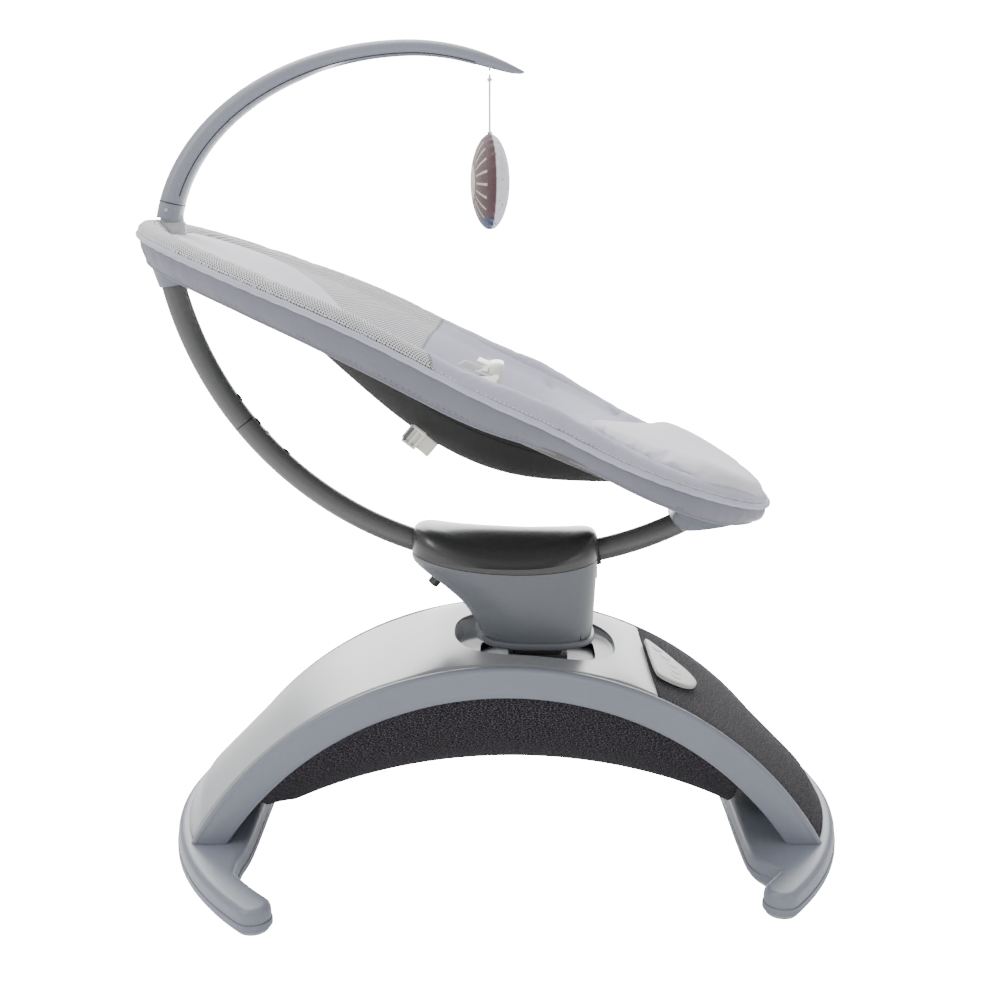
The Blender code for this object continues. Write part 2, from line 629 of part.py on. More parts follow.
def make_seat():
    ring = pipe("ring_tube", [rim_point(a, 14 * MM, -13.6 * MM) for a in around(60)], RING_RADIUS, closed=True)
    finish(ring, STEEL, 0.35, 1.0)

    rings = []
    for a in around(56):
        foot = ((1 + math.cos(a)) / 2) ** 6
        height = 15 * MM + 13 * MM * foot
        section = ((0, 0), (0, 0.45), (0.18, 0.8), (0.5, 1), (0.82, 0.8), (1, 0.45), (1, 0))
        rings.append([rim_point(a, s * PAD_WIDTH, -3.2 * MM + h * height) for s, h in section])
    pad = loft("rim_pad", rings, closed=True)
    collar = cylinder("rim_pad_hole", 15 * MM, 80 * MM, (-344 * MM, 0, 650 * MM), sides=32)
    combine(finish(pad, (0.66, 0.66, 0.72), 0.9), collar)

    rings = []
    for a in around(56):
        depth = 28 * MM - 6 * MM * abs(math.sin(a))
        rings.append([
            rim_point(a, 0, -3.8 * MM), rim_point(a, 2.5 * MM, -3.8 * MM),
            rim_point(a, 3.5 * MM, -depth), rim_point(a, 1 * MM, -depth),
        ])
    finish(loft("skirt", rings, closed=True), (0.38, 0.38, 0.42), 0.95)

    def liner(name, low, high, thickness, colour, columns):
        def place(t, v):
            x = low + (high - low) * t
            y = v * half_width(x, PAD_WIDTH + 5 * MM)
            return (x, y, rim_height(x) - LINER_DEPTH * bowl(x, y) - 1 * MM)
        cover = sheet(name, place, columns, 8, thickness)
        cover.modifiers["thickness"].offset = 1
        return finish(cover, colour, 0.92)

    liner("liner_head", -324 * MM, -121 * MM, 8 * MM, (0.72, 0.72, 0.75), 10)
    liner("liner_body", -119.5 * MM, 92 * MM, 8 * MM, (0.55, 0.55, 0.62), 10)
    liner("liner_foot", 93.5 * MM, 232 * MM, 16 * MM, (0.68, 0.68, 0.73), 8)

    def sling_place(t, v):
        x = (-236 + 410 * t) * MM
        y = v * half_width(x, 60 * MM)
        return (x, y, rim_height(x) - SLING_DEPTH * bowl(x, y) - 4 * MM)
    sling = sheet("sling", sling_place, 14, 8, 2.2 * MM)
    sling.modifiers["thickness"].offset = -1
    finish(sling, (0.012, 0.012, 0.012), 0.9)

    adjuster = box("sling_adjuster", (-106 * MM, -76 * MM, 437 * MM), (-72 * MM, -50 * MM, 442 * MM))
    soften(finish(adjuster, (0.8, 0.79, 0.74), 0.5), 1 * MM)


def make_harness():
    cream = (0.82, 0.82, 0.8)
    strap = box("crotch_strap", (-12 * MM, -17 * MM, 446 * MM), (-8 * MM, 17 * MM, 484 * MM))
    finish(strap, cream, 0.9)
    buckle = box("harness_buckle", (-18 * MM, -24 * MM, 484.3 * MM), (-3 * MM, 24 * MM, 516 * MM))
    hole = box("harness_buckle_hole", (-20 * MM, -8.4 * MM, 496 * MM), (-12 * MM, 8.4 * MM, 510 * MM))
    soften(combine(finish(buckle, cream, 0.4), hole), 1 * MM)
    button = box("buckle_button", (-19.5 * MM, -8 * MM, 496.4 * MM), (-15 * MM, 8 * MM, 509.6 * MM))
    finish(button, (0.6, 0.6, 0.62), 0.4)
    for name, side in (("near", -1), ("far", 1)):
        outline = [(24.4, 492), (24.4, 510), (60, 512), (104, 508), (104, 503), (60, 506)]
        outline = [(side * y * MM, z * MM) for y, z in outline]
        strap = flat(f"waist_strap_{name}", outline, 22 * MM, (-22 * MM, 0, 0))
        strap.rotation_euler = (math.pi / 2, 0, math.pi / 2)
        finish(strap, cream, 0.9)


# ---- toy bar --------------------------------------------------------------------------------

def make_toy_bar():
    swivel = pivot("bar_swivel", (BAR_SWIVEL[0], 0, BAR_SWIVEL[1]))
    rings = []
    count = 20
    for i in range(count):
        t = i / (count - 1)
        a = math.radians(BAR_START_ANGLE - BAR_SWEEP * t)
        near_tip = max(0, (t - BAR_TAPER_FROM) / (1 - BAR_TAPER_FROM))
        droop = BAR_DROOP * max(0, (t - BAR_DROOP_FROM) / (1 - BAR_DROOP_FROM)) ** 2
        depth = (25 - 11 * t) * MM * (1 - 0.75 * near_tip)
        half = (21 - 9 * t) * MM * (1 - 0.7 * near_tip)
        ring = []
        for j in range(8):
            b = 2 * math.pi * j / 8
            drop = depth / 2 * (1 - math.sin(b))
            x = BAR_CENTRE[0] + (BAR_HALF_LENGTH - drop) * math.cos(a)
            z = BAR_CENTRE[1] + (BAR_HEIGHT - drop) * math.sin(a) - droop
            ring.append((x - BAR_SWIVEL[0], half * math.cos(b), z - BAR_SWIVEL[1]))
        rings.append(ring)
    bar = loft("toy_bar", rings, parent=swivel)
    finish(bar, (0.42, 0.44, 0.48), 0.4)

    hang = pivot("toy_hang", (TOY_HOOK[0], 0, TOY_HOOK[1]))
    top = TOY_HOOK[1] - 8 * MM
    route = [(0, 0, top - TOY_HOOK[1] - STRING_LENGTH * i / 20) for i in range(21)]
    string = pipe("toy_string", route, STRING_RADIUS, parent=hang)
    finish(string, (0.9, 0.9, 0.88), 0.9)

    bm = bmesh.new()
    bmesh.ops.create_uvsphere(bm, u_segments=20, v_segments=12, radius=1)
    bmesh.ops.scale(bm, verts=bm.verts, vec=(TOY_HALF_THICKNESS, TOY_RADIUS, TOY_RADIUS))
    toy = add_mesh("plush_toy", bm, hang)
    toy.location.z = top - STRING_LENGTH - GAP - TOY_RADIUS - TOY_HOOK[1]
    finish(toy, (0.36, 0.27, 0.29), 0.95)


def main():
    empty_scene()
    make_collections()
    make_feet()
    make_arch()
    make_panel()
    make_drive()
    make_carriage()
    make_pedestal()
    make_spine()
    make_seat()
    make_harness()
    make_toy_bar()


main()
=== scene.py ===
import json
import math

import bmesh
import bpy
import numpy as np
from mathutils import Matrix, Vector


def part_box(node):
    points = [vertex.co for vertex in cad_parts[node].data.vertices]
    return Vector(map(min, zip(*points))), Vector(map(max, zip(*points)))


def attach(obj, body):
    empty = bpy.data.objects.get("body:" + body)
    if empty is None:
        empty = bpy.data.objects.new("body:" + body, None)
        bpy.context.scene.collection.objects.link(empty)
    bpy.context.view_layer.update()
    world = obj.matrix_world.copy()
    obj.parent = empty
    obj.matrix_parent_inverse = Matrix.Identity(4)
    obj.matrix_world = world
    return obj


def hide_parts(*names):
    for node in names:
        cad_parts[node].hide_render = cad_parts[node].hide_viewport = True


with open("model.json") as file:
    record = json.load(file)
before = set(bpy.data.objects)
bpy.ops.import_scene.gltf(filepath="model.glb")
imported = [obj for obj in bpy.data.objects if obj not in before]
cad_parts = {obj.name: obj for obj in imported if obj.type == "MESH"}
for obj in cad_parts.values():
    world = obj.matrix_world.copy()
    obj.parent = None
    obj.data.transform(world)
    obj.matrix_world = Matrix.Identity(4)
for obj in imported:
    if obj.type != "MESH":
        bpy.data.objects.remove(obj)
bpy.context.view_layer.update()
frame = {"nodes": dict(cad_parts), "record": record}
record = frame["record"]
joints = {joint["name"]: joint for joint in record["behaviour"]["joints"]}
mm = 0.001
print("frame loaded:", len(frame["nodes"]), "nodes")


def lowHigh(node):
    low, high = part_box(node)
    return np.array(low), np.array(high)


def newPiece(name, bm, body, *nodes):
    bmesh.ops.recalc_face_normals(bm, faces=bm.faces)
    mesh = bpy.data.meshes.new(name)
    bm.to_mesh(mesh)
    bm.free()
    piece = bpy.data.objects.new(name, mesh)
    bpy.context.scene.collection.objects.link(piece)
    piece.data.shade_smooth()
    piece["body"] = body
    piece["nodes"] = ",".join(nodes)
    return piece


def applied(piece):
    # turns the live modifiers into plain mesh
    bpy.context.view_layer.update()
    evaluated = piece.evaluated_get(bpy.context.evaluated_depsgraph_get())
    mesh = bpy.data.meshes.new_from_object(evaluated)
    old = piece.data
    piece.modifiers.clear()
    piece.data = mesh
    bpy.data.meshes.remove(old)
    return piece


def place(piece, material):
    piece.data.materials.clear()
    piece.data.materials.append(material)
    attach(piece, piece["body"])
    nodes = [node for node in piece["nodes"].split(",") if node]
    if nodes:
        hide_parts(*nodes)
    return piece


def roundEdges(piece, width, segments=3):
    bevel = piece.modifiers.new("roundEdges", "BEVEL")
    bevel.width = width
    bevel.segments = segments
    bevel.limit_method = "ANGLE"
    bevel.angle_limit = math.radians(35)
    return piece


def thicken(piece, thickness, offset=-1.0):
    solid = piece.modifiers.new("thicken", "SOLIDIFY")
    solid.thickness = thickness
    solid.offset = offset
    return piece


def subdivide(piece):
    step = piece.modifiers.new("subdivide", "SUBSURF")
    step.levels = step.render_levels = 1
    return applied(piece)


def carve(piece, cutter, operation="DIFFERENCE"):
    step = piece.modifiers.new("carve", "BOOLEAN")
    step.operation = operation
    step.solver = "EXACT"
    step.object = cutter
    applied(piece)
    bpy.data.objects.remove(cutter, do_unlink=True)
    return piece


def sharpen(piece, angle=32):
    piece.data.shade_smooth()
    piece.data.set_sharp_from_angle(angle=math.radians(angle))
    return piece


def loft(name, rings, body, *nodes, closed=False, capped=True):
    # rings of equal length joined into a skin
    bm = bmesh.new()
    loops = [[bm.verts.new(point) for point in ring] for ring in rings]
    pairs = list(zip(range(len(loops) - 1), range(1, len(loops))))
    if closed:
        pairs.append((len(loops) - 1, 0))
    uv = bm.loops.layers.uv.new("UVMap")
    count = len(rings[0])
    for a, b in pairs:
        for i in range(count):
            j = (i + 1) % count
            face = bm.faces.new((loops[a][i], loops[a][j], loops[b][j], loops[b][i]))
            for corner, (r, c) in zip(face.loops, ((a, i), (a, i + 1), (a + 1, i + 1), (a + 1, i))):
                corner[uv].uv = (r * 5 * mm, c * 5 * mm)
    if capped and not closed:
        bm.faces.new(loops[0])
        bm.faces.new(loops[-1])
    return newPiece(name, bm, body, *nodes)


def sheetGrid(name, shape, columns, rows, body, *nodes, size=(1.0, 1.0)):
    # an open surface from shape(u, v), both 0 to 1, with a UV in metres
    bm = bmesh.new()
    uv = bm.loops.layers.uv.new("UVMap")
    verts = [[bm.verts.new(shape(i / columns, j / rows)) for j in range(rows + 1)] for i in range(columns + 1)]
    for i in range(columns):
        for j in range(rows):
            face = bm.faces.new((verts[i][j], verts[i + 1][j], verts[i + 1][j + 1], verts[i][j + 1]))
            for corner, (a, b) in zip(face.loops, ((i, j), (i + 1, j), (i + 1, j + 1), (i, j + 1))):
                corner[uv].uv = (a / columns * size[0], b / rows * size[1])
    return newPiece(name, bm, body, *nodes)


def pipe(name, path, radius, body, *nodes, sides=16, closed=False):
    # a tube along a path; radius may be a function of the share along it
    path = np.array(path, float)
    count = len(path)
    rings = []
    up = np.array((0.0, 1.0, 0.0))
    for i in range(count):
        ahead = path[(i + 1) % count] if closed or i < count - 1 else path[i]
        behind = path[i - 1] if closed or i > 0 else path[i]
        along = ahead - behind
        along /= np.linalg.norm(along)
        side = np.cross(along, up)
        if np.linalg.norm(side) < 0.05:
            side = np.cross(along, (1.0, 0.0, 0.0))
        side /= np.linalg.norm(side)
        other = np.cross(side, along)
        size = radius(i / (count - 1)) if callable(radius) else radius
        rings.append([path[i] + size * (math.cos(a) * side + math.sin(a) * other)
                      for a in circle(sides)])
    return loft(name, rings, body, *nodes, closed=closed)


def slab(name, outline, low, high, body, *nodes):
    # a flat outline in X and Y raised from low to high
    bm = bmesh.new()
    base = bm.faces.new([bm.verts.new((x, y, low)) for x, y in outline])
    raised = bmesh.ops.extrude_face_region(bm, geom=[base])
    for vert in (item for item in raised["geom"] if isinstance(item, bmesh.types.BMVert)):
        vert.co.z = high
    return newPiece(name, bm, body, *nodes)


def block(name, low, high, body, *nodes):
    bm = bmesh.new()
    bmesh.ops.create_cube(bm, size=1)
    for vert in bm.verts:
        vert.co = [(a + b) / 2 + c * (b - a) for a, b, c in zip(low, high, vert.co)]
    return newPiece(name, bm, body, *nodes)


def rod(name, start, end, radius, body, *nodes, sides=32):
    return pipe(name, [start, end], radius, body, *nodes, sides=sides)


def smoothPath(points, count, closed=False):
    # a Catmull-Rom curve through a few given points
    points = np.array(points, float)
    spans = len(points) if closed else len(points) - 1
    result = []
    for k in range(count):
        t = k / (count if closed else count - 1) * spans
        i = min(int(t), spans - 1)
        f = t - i
        get = (lambda n: points[n % len(points)]) if closed else (lambda n: points[min(max(n, 0), len(points) - 1)])
        a, b, c, d = get(i - 1), get(i), get(i + 1), get(i + 2)
        result.append(0.5 * (2 * b + (c - a) * f + (2 * a - 5 * b + 4 * c - d) * f * f
                             + (3 * b - a - 3 * c + d) * f ** 3))
    return result


def step01(low, high, value):
    t = min(1.0, max(0.0, (value - low) / (high - low)))
    return t * t * (3 - 2 * t)


def circle(count):
    return np.linspace(0, 2 * math.pi, count + 1)[:-1]


def signed(value, power):
    return math.copysign(abs(value) ** power, value)


def turned(name, middle, axis, profile, body, *nodes, sides=36):
    # a round piece from (radius, rise) pairs in millimetres
    across = np.array((0.0, 1.0, 0.0))
    other = np.cross(axis, across)
    rings = [[middle + (axis * rise + radius * (across * math.cos(t) + other * math.sin(t))) * mm
              for t in circle(sides)] for radius, rise in profile]
    return loft(name, rings, body, *nodes)


def hump(x, middle, spread):
    return math.exp(-((x - middle * mm) / (spread * mm)) ** 2)


def ripple(x, y, seed=0.0):
    # a soft repeatable unevenness for cloth, about -1 to 1
    a = math.sin(x * 61 + y * 37 + seed) + math.sin(x * 113 - y * 71 + 2.1 * seed)
    return 0.35 * a + 0.3 * math.sin(x * 29 + y * 97 + 0.7 * seed)


def addSockets(tree, inputs, outputs):
    for title, kind, value in inputs:
        socket = tree.interface.new_socket(name=title, in_out="INPUT", socket_type="NodeSocket" + kind)
        if value is not None:
            socket.default_value = value
    for title, kind in outputs:
        tree.interface.new_socket(name=title, in_out="OUTPUT", socket_type="NodeSocket" + kind)
    return tree.nodes.new("NodeGroupInput"), tree.nodes.new("NodeGroupOutput")


def newGroup(name, inputs, outputs):
    group = bpy.data.node_groups.new(name, "ShaderNodeTree")
    return (group, *addSockets(group, inputs, outputs))


def feed(tree, socket, value):
    if isinstance(value, bpy.types.NodeSocket):
        tree.links.new(value, socket)
    elif value is not None:
        socket.default_value = (*value, 1) if socket.type == "RGBA" else value


def mathNode(tree, operation, *values):
    node = tree.nodes.new("ShaderNodeMath")
    node.operation = operation
    for socket, value in zip(node.inputs, values):
        feed(tree, socket, value)
    return node.outputs[0]


def vectorNode(tree, operation, *values, result=0):
    node = tree.nodes.new("ShaderNodeVectorMath")
    node.operation = operation
    for socket, value in zip(node.inputs, values):
        feed(tree, socket, value)
    return node.outputs[result]


def splitVector(tree, vector):
    node = tree.nodes.new("ShaderNodeSeparateXYZ")
    tree.links.new(vector, node.inputs[0])
    return node.outputs


def noiseNode(tree, vector, scale, detail=3.0, roughness=0.5):
    node = tree.nodes.new("ShaderNodeTexNoise")
    for title, value in (("Vector", vector), ("Scale", scale), ("Detail", detail), ("Roughness", roughness)):
        feed(tree, node.inputs[title], value)
    return node.outputs["Fac"]


def rangeNode(tree, value, low, high, newLow, newHigh):
    node = tree.nodes.new("ShaderNodeMapRange")
    for socket, number in zip(node.inputs, (value, low, high, newLow, newHigh)):
        feed(tree, socket, number)
    return node.outputs["Result"]


def mixColour(tree, factor, a, b, blend="MIX"):
    node = tree.nodes.new("ShaderNodeMix")
    node.data_type = "RGBA"
    node.blend_type = blend
    for index, value in ((0, factor), (6, a), (7, b)):
        feed(tree, node.inputs[index], value)
    return node.outputs[2]


def makeMouldedGrain():
    group, source, sink = newGroup("mouldedGrain", [
        ("Vector", "Vector", None), ("Grain Scale", "Float", 900.0),
        ("Roughness", "Float", 0.4), ("Unevenness", "Float", 0.06)],
        [("Height", "Float"), ("Roughness", "Float"), ("Shade", "Float")])
    fine = noiseNode(group, source.outputs["Vector"], source.outputs["Grain Scale"], 2.0)
    broad = noiseNode(group, source.outputs["Vector"], 9.0, 2.0)
    group.links.new(fine, sink.inputs["Height"])
    spread = mathNode(group, "MULTIPLY", mathNode(group, "SUBTRACT", broad, 0.5), source.outputs["Unevenness"])
    group.links.new(mathNode(group, "ADD", source.outputs["Roughness"], spread), sink.inputs["Roughness"])
    group.links.new(rangeNode(group, broad, 0.3, 0.7, 0.975, 1.025), sink.inputs["Shade"])
    return group


def makeTwillWeave():
    # crossing threads on a UV in metres
    group, source, sink = newGroup("twillWeave", [
        ("Vector", "Vector", None), ("Thread", "Float", 0.0006)],
        [("Height", "Float"), ("Shade", "Float")])
    apart = splitVector(group, source.outputs["Vector"])
    turns = mathNode(group, "DIVIDE", 2 * math.pi, source.outputs["Thread"])
    warp, weft = (mathNode(group, "SINE", mathNode(group, "MULTIPLY", apart[i], turns)) for i in (0, 1))
    height = rangeNode(group, mathNode(group, "MULTIPLY", warp, weft), -1.0, 1.0, 0.0, 1.0)
    group.links.new(height, sink.inputs["Height"])
    group.links.new(rangeNode(group, height, 0.0, 1.0, 0.9, 1.06), sink.inputs["Shade"])
    return group


def makeHoneycomb():
    # holes on a hexagonal lattice: the nearest of two rectangular ones half a cell apart
    group, source, sink = newGroup("honeycomb", [
        ("Vector", "Vector", None), ("Cell", "Float", 0.0034), ("Hole", "Float", 0.3)],
        [("Height", "Float"), ("Hole", "Float")])
    scaled = vectorNode(group, "DIVIDE", source.outputs["Vector"], source.outputs["Cell"])
    cell, flat = (1.0, math.sqrt(3), 1.0), (1.0, 1.0, 0.0)
    distances = []
    for shift in ((0.0, 0.0, 0.0), (0.5, math.sqrt(3) / 2, 0.0)):
        moved = vectorNode(group, "ADD", scaled, shift)
        share = vectorNode(group, "DIVIDE", moved, cell)
        local = vectorNode(group, "SUBTRACT", vectorNode(group, "FRACTION", share), (0.5, 0.5, 0.5))
        real = vectorNode(group, "MULTIPLY", vectorNode(group, "MULTIPLY", local, cell), flat)
        distances.append(vectorNode(group, "LENGTH", real, result=1))
    nearest = mathNode(group, "MINIMUM", *distances)
    edge = mathNode(group, "SUBTRACT", nearest, source.outputs["Hole"])
    hole = rangeNode(group, edge, -0.06, 0.06, 1.0, 0.0)
    group.links.new(hole, sink.inputs["Hole"])
    group.links.new(mathNode(group, "SUBTRACT", 1.0, hole), sink.inputs["Height"])
    return group


def makeHeather():
    # flecked melange yarn
    group, source, sink = newGroup("heather", [
        ("Vector", "Vector", None), ("Dark", "Color", (0.02, 0.02, 0.02, 1)),
        ("Light", "Color", (0.2, 0.2, 0.2, 1))],
        [("Color", "Color"), ("Height", "Float")])
    stretched = vectorNode(group, "MULTIPLY", source.outputs["Vector"], (1.0, 2.6, 1.0))
    fleck = noiseNode(group, stretched, 430.0, 1.0, 0.6)
    sideways = vectorNode(group, "MULTIPLY", source.outputs["Vector"], (3.0, 1.0, 1.0))
    crossed = noiseNode(group, sideways, 380.0, 1.0, 0.6)
    mixed = mathNode(group, "ADD", rangeNode(group, fleck, 0.5, 0.68, 0.0, 0.75),
                     rangeNode(group, crossed, 0.52, 0.7, 0.0, 0.4))
    colour = mixColour(group, mixed, source.outputs["Dark"], source.outputs["Light"])
    group.links.new(colour, sink.inputs["Color"])
    group.links.new(fleck, sink.inputs["Height"])
    return group


mouldedGrain = makeMouldedGrain()
twillWeave = makeTwillWeave()
honeycomb = makeHoneycomb()
heather = makeHeather()


def newMaterial(name, roughness=0.5, metallic=0.0, **plain):
    material = bpy.data.materials.new(name)
    material.use_nodes = True
    tree = material.node_tree
    shader = tree.nodes["Principled BSDF"]
    shader.inputs["Roughness"].default_value = roughness
    shader.inputs["Metallic"].default_value = metallic
    for title, value in plain.items():
        shader.inputs[title.replace("_", " ")].default_value = value
    return material, tree, shader, tree.nodes.new("ShaderNodeTexCoord").outputs


def useGroup(tree, group, vector, **values):
    node = tree.nodes.new("ShaderNodeGroup")
    node.node_tree = group
    tree.links.new(vector, node.inputs["Vector"])
    for title, value in values.items():
        node.inputs[title.replace("_", " ")].default_value = value
    return node


def addBump(tree, shader, height, strength, distance):
    bump = tree.nodes.new("ShaderNodeBump")
    bump.inputs["Strength"].default_value = strength
    bump.inputs["Distance"].default_value = distance
    tree.links.new(height, bump.inputs["Height"])
    tree.links.new(bump.outputs["Normal"], shader.inputs["Normal"])


def shadeColour(tree, shade, colour):
    grey = tree.nodes.new("ShaderNodeCombineColor")
    for i in range(3):
        tree.links.new(shade, grey.inputs[i])
    return mixColour(tree, 1.0, colour, grey.outputs[0], "MULTIPLY")


def plasticMaterial(name, colour, roughness=0.4, grain=900.0, bump=0.12, coat=0.0):
    material, tree, shader, coordinates = newMaterial(name, roughness, Coat_Weight=coat)
    group = useGroup(tree, mouldedGrain, coordinates["Object"], Grain_Scale=grain, Roughness=roughness)
    tree.links.new(shadeColour(tree, group.outputs["Shade"], colour), shader.inputs["Base Color"])
    tree.links.new(group.outputs["Roughness"], shader.inputs["Roughness"])
    addBump(tree, shader, group.outputs["Height"], bump, 0.0002)
    return material


def metalMaterial(name, colour, roughness=0.3):
    material, tree, shader, coordinates = newMaterial(name, roughness, 1.0)
    lines = noiseNode(tree, vectorNode(tree, "MULTIPLY", coordinates["Object"], (40.0, 900.0, 900.0)), 1.0, 2.0)
    tree.links.new(rangeNode(tree, lines, 0.2, 0.8, roughness - 0.08, roughness + 0.1), shader.inputs["Roughness"])
    brushed = rangeNode(tree, lines, 0.2, 0.8, 0.92, 1.05)
    tree.links.new(shadeColour(tree, brushed, colour), shader.inputs["Base Color"])
    return material


def clothMaterial(name, colour, thread=0.0007, bump=0.25, sheen=0.25, blotch=0.05):
    material, tree, shader, coordinates = newMaterial(name, 0.88, Sheen_Weight=sheen, Sheen_Roughness=0.5)
    weave = useGroup(tree, twillWeave, coordinates["UV"], Thread=thread)
    patch = noiseNode(tree, coordinates["Object"], 14.0, 3.0)
    uneven = rangeNode(tree, patch, 0.3, 0.7, 1 - blotch, 1 + blotch)
    shade = mathNode(tree, "MULTIPLY", weave.outputs["Shade"], uneven)
    tree.links.new(shadeColour(tree, shade, colour), shader.inputs["Base Color"])
    addBump(tree, shader, weave.outputs["Height"], bump, 0.0003)
    return material


def heatherMaterial(name, dark, light):
    material, tree, shader, coordinates = newMaterial(name, 0.95, Specular_IOR_Level=0.15)
    yarn = useGroup(tree, heather, coordinates["UV"], Dark=(*dark, 1), Light=(*light, 1))
    tree.links.new(yarn.outputs["Color"], shader.inputs["Base Color"])
    addBump(tree, shader, yarn.outputs["Height"], 0.5, 0.0006)
    return material


def splitClothMaterial(name, meshColour, smoothColour, line, holeShadeColour):
    # spacer mesh on the head side of a seam line, smooth knit on the other
    material, tree, shader, coordinates = newMaterial(name, 0.9, Sheen_Weight=0.2, Sheen_Roughness=0.5)
    cells = useGroup(tree, honeycomb, coordinates["UV"], Cell=0.0029, Hole=0.29)
    weave = useGroup(tree, twillWeave, coordinates["UV"], Thread=0.0007)
    apart = splitVector(tree, coordinates["Object"])
    outward = mathNode(tree, "DIVIDE", mathNode(tree, "ABSOLUTE", apart[1]), line["half"])
    shift = mathNode(tree, "MULTIPLY", mathNode(tree, "POWER", outward, line["power"]), line["spread"])
    pastSeam = mathNode(tree, "SUBTRACT", mathNode(tree, "SUBTRACT", apart[0], line["middle"]), shift)
    smoothSide = rangeNode(tree, pastSeam, -0.0006, 0.0006, 0.0, 1.0)
    seam = rangeNode(tree, mathNode(tree, "ABSOLUTE", pastSeam), 0.0006, 0.0022, 0.6, 1.0)
    patch = noiseNode(tree, coordinates["Object"], 12.0, 3.0)
    # the mesh holes take the near-black hole colour: painted shade inside the holes
    meshCloth = mixColour(tree, cells.outputs["Hole"], meshColour, holeShadeColour)
    smoothCloth = shadeColour(tree, weave.outputs["Shade"], smoothColour)
    both = mixColour(tree, smoothSide, meshCloth, smoothCloth)
    shade = mathNode(tree, "MULTIPLY", seam, rangeNode(tree, patch, 0.3, 0.7, 0.96, 1.04))
    tree.links.new(shadeColour(tree, shade, both), shader.inputs["Base Color"])
    height = tree.nodes.new("ShaderNodeMix")
    tree.links.new(smoothSide, height.inputs[0])
    tree.links.new(cells.outputs["Height"], height.inputs[2])
    tree.links.new(mathNode(tree, "MULTIPLY", weave.outputs["Height"], 0.15), height.inputs[3])
    addBump(tree, shader, mathNode(tree, "MULTIPLY", height.outputs[0], seam), 0.9, 0.0009)
    return material


shades = {
    "shell": (0.185, 0.2, 0.243),
    # cover: the shell grey made lighter, painted top light on the same plastic as the rims
    "cover": (0.245, 0.255, 0.27),
    "housing": (0.125, 0.134, 0.152),
    # cap: near-black, painted shade from the seat overhead on plastic that is the housing's grey; the recline knob uses
    # it too
    "cap": (0.042, 0.042, 0.042),
    "panel": (0.52, 0.52, 0.50),
    "bar": (0.235, 0.25, 0.295),
    "seat": (0.46, 0.46, 0.56),
    "pale": (0.66, 0.66, 0.71),
    "skirt": (0.19, 0.192, 0.235),
    "cream": (0.70, 0.69, 0.62),
}
lightShell = plasticMaterial("lightShell", shades["shell"], 0.34)
# a lighter copy of the shell plastic: painted light for the top cover and the well
litCoverShell = plasticMaterial("litCoverShell", shades["cover"], 0.3)
housingShell = plasticMaterial("housingShell", shades["housing"], 0.34)
# near-black plastic: painted shade on the pedestal cap, also used for the recline knob
capShadeKnobPlastic = plasticMaterial("capShadeKnobPlastic", shades["cap"], 0.3, bump=0.06, coat=0.15)
panelPlastic = plasticMaterial("panelPlastic", shades["panel"], 0.42)
barPlastic = plasticMaterial("barPlastic", shades["bar"], 0.38)
barInner = plasticMaterial("barInner", (0.5, 0.51, 0.53), 0.45)
innerPlastic = plasticMaterial("innerPlastic", (0.1, 0.105, 0.11), 0.5)
blackPlastic = plasticMaterial("blackPlastic", (0.012, 0.012, 0.013), 0.45)
gearPlastic = plasticMaterial("gearPlastic", (0.72, 0.69, 0.58), 0.5)
bucklePlastic = plasticMaterial("bucklePlastic", (0.74, 0.74, 0.71), 0.3, coat=0.2)
soleRubber = plasticMaterial("soleRubber", (0.4, 0.4, 0.41), 0.8, 1800.0, 0.3)
powderCoat = plasticMaterial("powderCoat", (0.1, 0.1, 0.1), 0.3, 2200.0, 0.2)
steelMetal = metalMaterial("steelMetal", (0.62, 0.62, 0.64))
charcoalKnit = heatherMaterial("charcoalKnit", (0.006, 0.0055, 0.0065), (0.12, 0.11, 0.13))
legKnit = heatherMaterial("legKnit", (0.014, 0.0135, 0.015), (0.14, 0.135, 0.15))
smoothKnit = clothMaterial("smoothKnit", shades["seat"])
paleKnit = clothMaterial("paleKnit", shades["pale"])
skirtCloth = clothMaterial("skirtCloth", shades["skirt"], 0.0009, 0.35)
slingCloth = clothMaterial("slingCloth", (0.0035, 0.0035, 0.0035), 0.0014, 0.6, 0.0)
webbing = clothMaterial("webbing", shades["cream"], 0.0016, 0.6, 0.1)
threadGrey = clothMaterial("threadGrey", (0.12, 0.12, 0.14), 0.001, 0.4, 0.1)
stringCloth = clothMaterial("stringCloth", (0.85, 0.85, 0.83), 0.001, 0.4, 0.1)
print("materials made")


rimLow, rimHigh = lowHigh("rim_near")
shiftX = (rimLow[0] + rimHigh[0]) / 2
arch = {
    "halfWidth": -rimLow[1],
    "rimThickness": rimHigh[1] - rimLow[1],
    "rimDepth": 33.5 * mm,
    "crown": 20 * mm,
    "landing": rimLow[2],
}
well = {"middleX": 31 * mm + shiftX, "halfLength": 88 * mm, "halfWidth": 84 * mm, "round": 0.8, "floorZ": 196 * mm}
halfSpan = (rimHigh[0] - rimLow[0]) / 2
archRise = rimHigh[2] - rimLow[2]
archRadius = (halfSpan ** 2 + archRise ** 2) / (2 * archRise)
archCentreZ = rimHigh[2] - archRadius
coverHalf = arch["halfWidth"] - arch["rimThickness"] - 0.3 * mm


